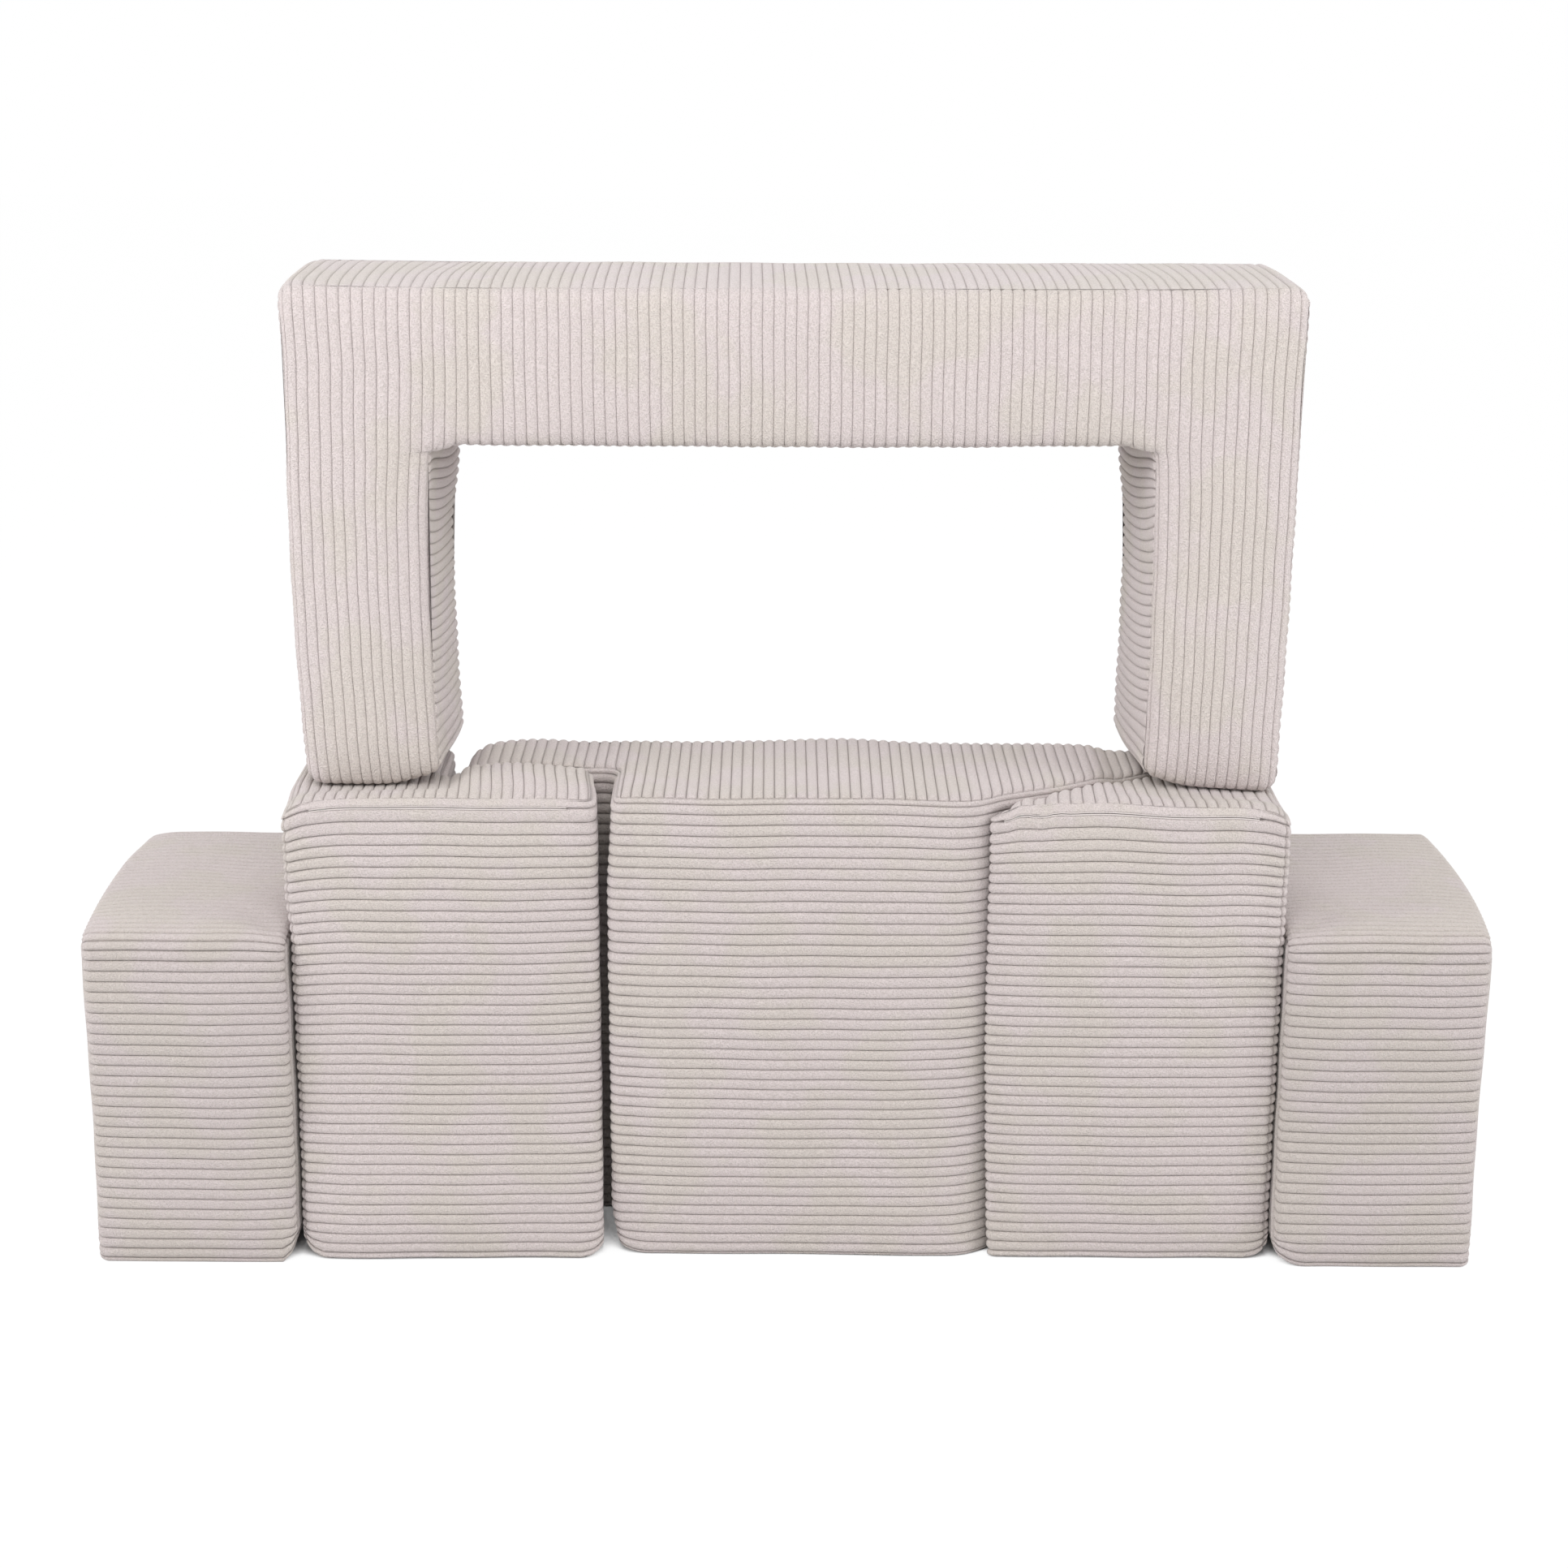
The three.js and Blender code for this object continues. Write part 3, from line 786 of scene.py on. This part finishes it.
stair_low, stair_high = extent("stair_cover")
ramp_low = extent("ramp_cover")[0]
wedge_low, wedge_high = extent("wedge_cover")
left_low, left_high = extent("left_square_cover")
right_low, right_high = extent("right_square_cover")
arch_low, arch_high = extent("arch_cover")
arch_foam_low, arch_foam_high = extent("arch_foam")
slab_height, square_height = stair_high.z, left_high.z
SLAB_FRONT = -183
PRESS_SOFT = 30  # how far round the arch's legs their pressure is felt
WAVER, WAVER_LENGTH = 0.6, 30  # how far the wales wander, and over what length


def waver(x, y, z):
    """The slight wandering of wales on a stuffed cover."""
    x, y, z = x / WAVER_LENGTH, y / WAVER_LENGTH, z / WAVER_LENGTH
    return WAVER * np.column_stack([
        np.sin(1.1 * z + 0.5 * x + 1) * np.sin(0.37 * y + 0.9 * z),
        np.sin(0.8 * x - 0.6 * z) * np.sin(0.43 * x + 0.5 * z + 2),
        np.sin(0.9 * x + 0.3 * y) * np.sin(0.31 * z + 0.57 * x),
    ])


def sagged(block, place):
    """Places in metres, moved by the block's shape and by its wandering wales."""
    at = place.T / MM
    moves = np.broadcast_arrays(*block.shape(*at), at[0])[:3]
    return place + (np.column_stack(moves) + waver(*at)) * MM


def under_legs(x, y):
    """1 where the arch stands on the slab, falling to 0 around its legs."""
    leg = ARCH_MEMBER / MM + 10
    left = plateau(x, arch_foam_low.x - 5, arch_foam_low.x + leg, PRESS_SOFT)
    right = plateau(x, arch_foam_high.x - leg, arch_foam_high.x + 5, PRESS_SOFT)
    return (left + right) * plateau(y, arch_foam_low.y, arch_foam_high.y, PRESS_SOFT)


def near_front(y):
    """1 at the slab's front, 0 from 90 mm behind it."""
    return smooth(SLAB_FRONT + 90, SLAB_FRONT + 10, y)


def past_front(y):
    """0 at the slab's front, 1 from 60 mm behind it."""
    return smooth(SLAB_FRONT, SLAB_FRONT + 60, y)


def seat(z, size):
    """A swelling along the top edge of a block of the slab."""
    return size * hill(z, slab_height - TOP_ROUND / MM, 12)


def corner_rise(x, z, edge, reach, rise):
    """A lower corner of the front is rounded up off the floor."""
    return rise * np.clip(1 - np.abs(x - edge) / reach, 0, 1) ** 2 * smooth(45, 0, z)


def end_fall(x, edge, reach, fall):
    """A drop of the block towards its end at edge, quickening as it gets there."""
    return -fall * (1 - np.clip((x - edge) / reach, 0, 1)) ** 2


def stair_shape(x, y, z):
    up, front, free = z / slab_height, near_front(y), 1 - under_legs(x, y)
    left, right = stair_low.x, stair_high.x
    to_right = smooth(left + 40, right - 60, x)
    over_square = smooth(square_height, square_height + 60, z)
    lean = -(1 - to_right) * (6 + 4 * over_square) - 7 * to_right
    taper = -10 * to_right * smooth(SLAB_FRONT + 10, SLAB_FRONT + STEP_DEPTH / MM, y)
    chin = -(12 + 5 * hill(x, -470, 110)) * smooth(220, 0, z) * front
    lift = 6 * smooth(0.6, 1, up) * free
    crown = 11 * smooth(0.4, 1, up) * hill(x, right - 90, 90) * free
    crown = crown * past_front(y) * smooth(-40, -70, y)
    droop = end_fall(x, left, 90, 13) * up ** 1.4 + end_fall(x, left, 26, 12) * up ** 12
    corners = corner_rise(x, z, left, 28, 26) + corner_rise(x, z, right, 28, 14)
    return lean + taper, chin, (droop + seat(z, 6)) * front + crown + lift + corners


def ramp_shape(x, y, z):
    up, front, left = z / slab_height, near_front(y), ramp_low.x
    high = smooth(0.45, 1, up)
    lift = 5 + 6 * hill(x, 50, 190) + 6 * hill(x, left + 80, 50) + 5 * front * hill(x, -190, 90)
    lift = lift * (1 - under_legs(x, y)) + end_fall(x, left, 45, 12)
    wave = 1.2 * np.sin(x / 38) * smooth(SLAB_FRONT, SLAB_FRONT + 120, y)
    beside_slot = -4.5 * smooth(1, 0.75, up) + 6 * smooth(70, 0, z) + 2 * smooth(0.85, 1, up)
    beside_slot = beside_slot * smooth(-170, -200, x) * front
    left_end = -5 * smooth(left + 60, left, x) * high
    foot = -4 * smooth(120, 0, z) * smooth(0, 150, x)
    behind_tip = 13 * smooth(190, 245, x)
    corner = corner_rise(x, z, left + 175, 40, 14) * front
    return beside_slot + left_end, (foot + behind_tip) * front, high * (lift + wave) + corner


def wedge_shape(x, y, z):
    up, front, pressed = z / slab_height, near_front(y), under_legs(x, y)
    left, right = wedge_low.x, wedge_high.x
    tip = 1 - smooth(left, left + 160, x)
    drag = -(5 + 9 * np.clip(up / 0.5, 0, 1) ** 0.8) * tip * front
    over_square = 6 * smooth(square_height, square_height + 70, z) * past_front(y)
    right_edge = smooth(right - 50, right, x) * (9 * front + over_square)
    foot = -4 * smooth(160, 0, z) * front
    right_end = end_fall(-x, -right, 60, 9) * up ** 2 + end_fall(-x, -right, 24, 9) * up ** 12
    ends = right_end + end_fall(x, left, 60, 18) * up ** 12
    crumple = 3 * np.sin(x / 6) * hill(x, left + 45, 32) * smooth(0.9, 1, up)
    lift = 5 * hill(x, left + 110, 60) * (1 - pressed) * up ** 4
    press = -7 * smooth(right - 190, right, x) * pressed * up ** 4
    top = (ends + seat(z, 5)) * front + crumple + lift + press
    return drag + right_edge, foot, top + corner_rise(x, z, right, 26, 18)


def square_shape(x, y, z, way, inner, outer, lean, lift, bulge, fall, reach, rise):
    """way is the sense of X towards the outer face."""
    up = z / square_height
    high = smooth(0.3, 1, up)
    outward = np.abs(x - inner) / abs(outer - inner)
    deep = np.clip(1 - ((y - 20) / 200) ** 2, 0, 1)
    shift = lean * smooth(0.6, 1, 1 - outward)
    shift += bulge * smooth(0.55, 1, outward) * (0.25 + 0.75 * high) * deep
    dish = 6 * hill(x, (2 * inner + outer) / 3, 70) * hill(y, 30, 90)
    from_corner = np.abs(x - inner) - 0.7 * (y + 195)
    dish += 3 * hill(from_corner, 0, 22) * smooth(-60, -150, y)
    back_corner = -fall * smooth(0.75, 1, outward) ** 2 * smooth(60, 190, y)
    foot = -13 * smooth(170, 0, z) * smooth(-110, -190, y)
    corner = corner_rise(x, z, inner, reach, rise) * smooth(0, -150, y)
    return way * shift, foot, high * (lift + back_corner - dish * smooth(0.9, 1, up)) + corner


def arch_shape(x, y, z):
    size = arch_high - arch_low
    across = (x - (arch_low.x + arch_high.x) / 2) / (0.5 * size.x)
    deep, up = (y - arch_low.y) / size.y, (z - arch_low.z) / size.z
    out, left = np.abs(across), across < 0
    high, outward = smooth(0.72, 1, up), smooth(0.72, 1, out)
    sag = -4.5 * (1 - across ** 2) * plateau(up, 0.66, 0.74, 0.1)
    corner = np.where(left, 8, 4) * pillow(np.clip(deep, 0, 1)) * high * outward
    lean = outward * np.where(left, 3 - 6 * up, 0.5 + 4 * up)
    bow = hump(np.clip(up / 0.85, 0, 1)) * smooth(0.55, 0.68, out) * np.where(left, -6, 2.5)
    flare = 5 * smooth(0.8, 0, deep) * plateau(out, 0.64, 0.74, 0.14) * smooth(0.74, 0.5, up)
    at_opening = hill(np.abs(x), SQUARE_SIDE / MM, 45)
    gather = -9 * smooth(800, 900, z) * smooth(0.3, 0.8, deep) * at_opening
    opening_top = arch_low.z + SQUARE_SIDE / MM
    tuck = 20 * smooth(opening_top - 130, opening_top - 36, z) * smooth(0.7, 0.1, deep)
    tuck = tuck * smooth(opening_top, opening_top - 30, z) * at_opening
    inner_foot = 13 * smooth(0.86, 0.7, out) ** 2 * smooth(0.8, 0, deep)
    foot = smooth(90, 0, z - arch_low.z) * (inner_foot - 8 * smooth(0.7, 1, across))
    side = lean + bow + np.sign(across) * (corner + flare + gather)
    return side, 0, 10 * high + sag + 0.6 * corner + foot + tuck


# The six blocks

BLOCK_DEPTH = 240 * MM
FACE_SWELL = 7 * MM
COLUMN_SWELL = 4 * MM
SQUARE_SWELL = 5 * MM
PANEL_SWELL = 9 * MM
LEG_SWELL = 3 * MM
BEAM_SWELL = 5 * MM
OPENING_HOLLOW = 4 * MM
SOFT_PINCH = 1.2 * MM
ARCH_PANEL_SWELL = 5 * MM
STAIR_FRONT, STAIR_COLUMN = 350 * MM, 175 * MM
STEM_FRONT, RAMP_RUN = 420 * MM, 330 * MM
SQUARE_SIDE, SQUARE_THICKNESS = 390 * MM, 240 * MM
UPRIGHT = ((1, 0, 0), (0, 1, 0), (0, 0, 1))
SLAB_ROUNDS = (FLOOR_ROUND, TOP_ROUND)
SLAB_PINCHES = (2 * SOFT_PINCH, SOFT_PINCH)



def slab_block(name, corners, x, **more):
    """A block of the slab, lying on its side with its first corner at x."""
    return Block(
        name, corners, slab_height * MM, UPRIGHT, (x, SLAB_FRONT * MM, 0), "round",
        rounds=SLAB_ROUNDS, pinches=SLAB_PINCHES, **more,
    )


stair = slab_block(
    "stair",
    [
        (0, 0, CORNER_ROUND, FACE_SWELL),
        (STAIR_FRONT, 0, CORNER_ROUND),
        (STAIR_FRONT, STEP_DEPTH, CORNER_ROUND),
        (STAIR_COLUMN, STEP_DEPTH, CORNER_ROUND),
        (STAIR_COLUMN, BLOCK_DEPTH, CORNER_ROUND, COLUMN_SWELL),
        (0, BLOCK_DEPTH, CORNER_ROUND),
    ],
    stair_low.x * MM, uprights=[0.2], jumps=[(STAIR_COLUMN, -1)], keeps="lower", zip_side=0,
    shape=stair_shape,
)
wing = STAIR_FRONT - STAIR_COLUMN
ramp = slab_block(
    "ramp",
    [
        (0, 0, CORNER_ROUND, FACE_SWELL),
        (STEM_FRONT, 0, RAMP_ROUND),
        (STEM_FRONT + RAMP_RUN, BLOCK_DEPTH, TIP_ROUND, FACE_SWELL),
        (-wing, BLOCK_DEPTH, CORNER_ROUND),
        (-wing, STEP_DEPTH + STAIR_GAP, CORNER_ROUND),
        (0, STEP_DEPTH + STAIR_GAP, CORNER_ROUND),
    ],
    ramp_low.x * MM + wing, jumps=[(0, 1)], zip_side=2, shape=ramp_shape,
)
wedge = slab_block(
    "wedge",
    [
        (0, 0, 1.6 * TIP_ROUND, FACE_SWELL),
        (RAMP_RUN, 0, CORNER_ROUND),
        (RAMP_RUN, BLOCK_DEPTH, TIP_ROUND),
    ],
    wedge_high.x * MM - RAMP_RUN, uprights=[0.04, 1.25], zip_side=0, shape=wedge_shape,
)
SQUARE_CORNERS = [
    (0, 0, 0.25 * SQUARE_ROUND),
    (SQUARE_SIDE, 0, 0.25 * SQUARE_ROUND, SQUARE_SWELL),
    (SQUARE_SIDE, SQUARE_SIDE, SQUARE_ROUND, SQUARE_SWELL),
    (0, SQUARE_SIDE, SQUARE_ROUND, SQUARE_SWELL),
]
SIDEWAYS = ((0, 1, 0), (0, 0, 1), (1, 0, 0))
SQUARE_SEAM = math.radians(84)


def square_block(name, x, way, inner, outer, **moves):
    """A square block on its edge from x, with its free face on the way's side."""
    middle = (left_low.y + left_high.y) / 2 * MM
    return Block(
        name, SQUARE_CORNERS, SQUARE_THICKNESS, SIDEWAYS, (x, middle - SQUARE_SIDE / 2, 0),
        "across", seam=SQUARE_SEAM, domes=(0, PANEL_SWELL)[::way], zip_side=1,
        shape=partial(square_shape, way=way, inner=inner, outer=outer, **moves),
    )


left_square = square_block(
    "left_square", left_high.x * MM - SQUARE_THICKNESS, -1, left_high.x, left_low.x,
    lean=8, lift=8, bulge=8, fall=8, reach=20, rise=30,
)
right_square = square_block(
    "right_square", right_low.x * MM, 1, right_low.x, right_high.x,
    lean=9, lift=12, bulge=13, fall=0, reach=42, rise=20,
)
arch_half = SQUARE_SIDE + ARCH_MEMBER
turned = np.array([math.cos(ARCH_TURN), math.sin(ARCH_TURN), 0])
back = np.array([-turned[1], turned[0], 0])
arch_middle = (arch_low + arch_high) / 2
arch_foot = np.array([arch_middle.x, arch_middle.y, arch_low.z]) * MM
ARCH_SEAM = math.radians(18)
TOP_SIDE = 6


def arch_joined(at):
    """The front, top and back of the arch are one piece of corduroy."""
    return smooth(arch_half - 30 * MM, arch_half - 12 * MM, at.y)


def beside_opening(at):
    return (at.side == 1) | (at.side == 3)


def arch_wales(at):
    """The cloth is drawn flatter over the arch's outer faces."""
    return WALE_DEPTH * np.where(beside_opening(at), 1, 0.65)


def arch_drape(at):
    """The wales of the opening's sides hang in arcs between the front and back seams."""
    beside = beside_opening(at)
    move = np.zeros_like(at.local)
    from_top = np.where(at.side == 1, 1 - at.along, at.along)
    rise = 31 * MM * np.clip(at.z / BLOCK_DEPTH, 0, 1) ** 2.2
    move[:, 1] = beside * rise * smooth(0, 0.3, from_top) * smooth(1, 0.85, from_top)
    return move


arch = Block(
    "arch",
    [
        (-arch_half, 0, ARCH_ROUND),
        (-SQUARE_SIDE, 0, FOOT_ROUND, -OPENING_HOLLOW),
        (-SQUARE_SIDE, SQUARE_SIDE, OPENING_ROUND),
        (SQUARE_SIDE, SQUARE_SIDE, OPENING_ROUND),
        (SQUARE_SIDE, 0, FOOT_ROUND),
        (arch_half, 0, ARCH_ROUND, LEG_SWELL),
        (arch_half, arch_half, ARCH_ROUND, BEAM_SWELL),
        (-arch_half, arch_half, ARCH_ROUND, 2.5 * LEG_SWELL),
    ],
    BLOCK_DEPTH, (turned, (0, 0, 1), -back), arch_foot + back * BLOCK_DEPTH / 2, "across",
    seam=ARCH_SEAM, rounds=(SEAM_ROUND, 1.4 * SEAM_ROUND), drape=arch_drape,
    pinches=(SEAM_DEPTH, 0.35 * SEAM_DEPTH), jumps=[(-SQUARE_SIDE, -1), (SQUARE_SIDE, 1)],
    domes=(ARCH_PANEL_SWELL, ARCH_PANEL_SWELL), wale_depth=arch_wales, joined=arch_joined,
    zip_side=TOP_SIDE, shape=arch_shape,
)
# The panels' wales meet those of the band along the top
top_start = arch.outline.ring(0, np.array([TOP_SIDE + 0.5]))[0]
run_to_top = arch.outline.marks[2 * TOP_SIDE + 1]
arch.column_phase = top_start[0] + run_to_top


# Materials


class Socket:
    """A link in a node tree, with arithmetic that adds its Math nodes."""

    def __init__(self, tree, link):
        self.tree, self.link = tree, link

    def math(self, operation, other):
        return self.tree.node("Math", {"operation": operation}, (self, other))

    def __mul__(self, other):
        return self.math("MULTIPLY", other)

    __rmul__ = __mul__


class Nodes:
    def __init__(self, owner, shader, output):
        owner.use_nodes = True
        self.owner = owner
        self.nodes, self.links = owner.node_tree.nodes, owner.node_tree.links
        self.shader, self.output = self.nodes[shader], self.nodes[output]

    def put(self, socket, value):
        if isinstance(value, Socket):
            self.links.new(value.link, socket)
        else:
            socket.default_value = value

    def node(self, kind, settings=(), values=(), out=None, **inputs):
        """A node, its settings, and the values or links of its inputs in order or by name."""
        node = self.nodes.new("ShaderNode" + kind)
        for key, value in dict(settings).items():
            setattr(node, key, value)
        for socket, value in zip([s for s in node.inputs if s.enabled], values):
            self.put(socket, value)
        for key, value in inputs.items():
            self.put(node.inputs[key.replace("_", " ")], value)
        outputs = [s for s in node.outputs if s.enabled and out in (None, s.name)]
        return Socket(self, outputs[0])

    def noise(self, scale, detail):
        place = self.node("TexCoord", out="Object")
        return self.node("TexNoise", Vector=place, Scale=scale, Detail=detail)

    def mix(self, factor, a, b):
        return self.node("Mix", {"data_type": "RGBA"}, (factor, a, b))

    def ramp(self, value, *stops):
        """value from stops 0 to 1, eased into stops 2 to 3."""
        return self.node("MapRange", {"interpolation_type": "SMOOTHSTEP"}, (value, *stops))

    def seen(self):
        """1 on rays from the camera and those that it sees mirrored or through glass, else 0."""
        seen = self.node("LightPath", out="Is Camera Ray")
        for ray in ("Is Glossy Ray", "Is Transmission Ray"):
            seen = seen.math("MAXIMUM", self.node("LightPath", out=ray))
        return seen

    def blend(self, share, shader):
        """A share of the main shader gives way to another."""
        main = Socket(self, self.shader.outputs[0])
        mixed = self.node("MixShader", values=(share, main, shader))
        self.put(self.output.inputs["Surface"], mixed)

    def finish(self, color, roughness, bump=None, depth=0.001, **constants):
        self.put(self.shader.inputs["Base Color"], color)
        self.put(self.shader.inputs["Roughness"], roughness)
        for key, value in constants.items():
            self.shader.inputs[key.replace("_", " ")].default_value = value
        if bump is not None:
            normal = self.node("Bump", Height=bump, Strength=1.0, Distance=depth)
            self.put(self.shader.inputs["Normal"], normal)
        return self.owner


def new_material(name):
    return Nodes(bpy.data.materials.new(name), "Principled BSDF", "Material Output")


def linear(red, green, blue, painted_light=1.0):
    """A colour as it looks on a screen, from 0 to 255, as the shader takes it; the last argument
    scales it to paint light or shade on it.
    """

    def level(value):
        share = value / 255
        return painted_light * (share / 12.92 if share <= 0.04045 else ((share + 0.055) / 1.055) ** 2.4)

    return level(red), level(green), level(blue), 1.0


def corduroy_material(name, painted_light):
    """The last argument scales the cloth's lightness: painted light or painted shade for a block
    that should look more or less lit than the lamps make it.
    """
    m = new_material(name)
    valley = m.node("Attribute", {"attribute_name": "valley"}, out="Fac")
    rosy, straw = linear(216, 205, 204, painted_light), linear(213, 204, 198, painted_light)
    patches = m.ramp(m.noise(11.0, 4.0), 0.44, 0.58, 0.0, 1.0)
    pile = m.noise(620.0, 5.0)
    cloth = m.mix(patches, rosy, straw)
    cloth = m.mix(m.ramp(pile, 0.38, 0.6, 0.4, 0.0), cloth, linear(176, 166, 160))
    # Darker where the cloth lies deep, in the grooves, the seams and the zip's pocket: partly the
    # darker base of the cloth between the wales, partly painted shade in those hollows.
    cloth = m.mix(valley * valley * 0.35, cloth, linear(140, 130, 125))
    return m.finish(cloth, 0.95, bump=pile, depth=0.0025, Sheen_Weight=0.3, Sheen_Roughness=0.4)


def speckled_material(name, grain, stops, light, dark, roughness, depth):
    """A light material with dark specks, which are its relief too."""
    m = new_material(name)
    specks = m.noise(*grain)
    color = m.mix(m.ramp(specks, *stops), linear(*light), linear(*dark))
    return m.finish(color, roughness, bump=specks, depth=depth)


def metal_material():
    m = new_material("zip_metal")
    wear = m.noise(260.0, 3.0)
    return m.finish(linear(176, 174, 170), m.ramp(wear, 0.35, 0.65, 0.3, 0.45), Metallic=1.0)


# Painted light and painted shade: the arch's cloth is made lighter and the squares' cloth darker, so
# that they look more and less lit than the lamps make them.
PAINTED_LIGHT_TONES = {"arch": 1.065, "left_square": 0.92, "right_square": 0.92}
foam = speckled_material(
    "foam", (900, 2), (0.35, 0.6, 0.5, 0), (232, 224, 200), (196, 184, 152), 0.9, 0.001
)
tape = speckled_material(
    "zip_tape", (1400, 1), (0.4, 0.6, 0.3, 0), (222, 213, 210), (180, 171, 167), 0.8, 0.0003
)
metal = metal_material()
for block in (stair, ramp, wedge, left_square, right_square, arch):
    name = block.name
    body = name if block is arch else name + "_block"
    corduroy = corduroy_material(name + "_corduroy", PAINTED_LIGHT_TONES.get(name, 1.0))
    outside = make_piece(name + "_corduroy", cover(block), corduroy)
    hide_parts(name + "_cover")
    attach(outside, body)
    inside = make_piece(name + "_foam_core", core(block), foam)
    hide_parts(name + "_foam")
    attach(inside, body)
    chain = zip_piece(block, zip_chain(block), name + "_zip_chain", tape)
    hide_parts(name + "_zip")
    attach(chain, body)
    slider = zip_piece(block, zip_slider(block), name + "_zip_pull", metal)
    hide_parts(name + "_zip_slider")
    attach(slider, name + "_zip_slider")

# Camera, lamps and studio

CAMERA_PLACE = (-3.3 * MM, -3184 * MM, 1512 * MM)
CAMERA_PITCH = math.radians(17.33)
CAMERA_ROLL = math.radians(0.27)
LENS = 65.35

scene = bpy.context.scene
camera = add_object("camera", bpy.data.cameras.new("camera"))
camera.data.lens = LENS
camera.data.sensor_width = 36
camera.location = CAMERA_PLACE
tilt = Euler((math.pi / 2 - CAMERA_PITCH, 0, 0)).to_matrix()
camera.rotation_euler = (tilt @ Euler((0, 0, CAMERA_ROLL)).to_matrix()).to_euler()
scene.camera = camera


def lamp(name, place, aim, size, power):
    light = bpy.data.lights.new(name, "AREA")
    light.shape = "RECTANGLE"
    light.size, light.size_y = size
    light.energy = power
    holder = add_object(name, light)
    holder.location = place
    holder.rotation_euler = (Vector(aim) - Vector(place)).to_track_quat("-Z", "Y").to_euler()


lamp("key", (-0.15, -2.0, 2.5), (0, 0, 0.85), (1.8, 1.0), 27)
lamp("left", (-2.6, -1.0, 1.7), (0, 0, 0.8), (1.4, 1.4), 36)
lamp("right", (2.6, -1.0, 1.7), (0, 0, 0.8), (1.4, 1.4), 32)
lamp("back", (0, 1.9, 2.3), (0, 0, 0.6), (2.4, 1.0), 14)


def studio_paper():
    """Plain white to the camera and its reflections, with a trace of the object's shadow, and
    all of it in the narrow places between the blocks."""
    m = new_material("studio_paper")
    m.finish((0.8, 0.8, 0.8, 1), 1.0, Specular_IOR_Level=0.0)
    open_air = m.node("AmbientOcclusion", {"samples": 16}, out="AO", Distance=0.12)
    m.blend(m.seen() * m.ramp(open_air, 0.07, 0.2, 0.0, 0.92), m.node("Emission", Strength=1.04))
    return m.owner


bm = bmesh.new()
bmesh.ops.create_grid(bm, x_segments=1, y_segments=1, size=12)
studio_floor = add_object("studio_floor", finished(bm, "studio_floor"))
studio_floor.data.materials.append(studio_paper())

WHITE = (1, 1, 1, 1)
AMBIENT = 0.64
scene.world = bpy.data.worlds.new("studio")
sky = Nodes(scene.world, "Background", "World Output")
sky.put(sky.shader.inputs["Color"], WHITE)
sky.put(sky.shader.inputs["Strength"], AMBIENT)
sky.blend(sky.seen(), sky.node("Background", Color=WHITE))
scene.view_settings.view_transform = "Standard"
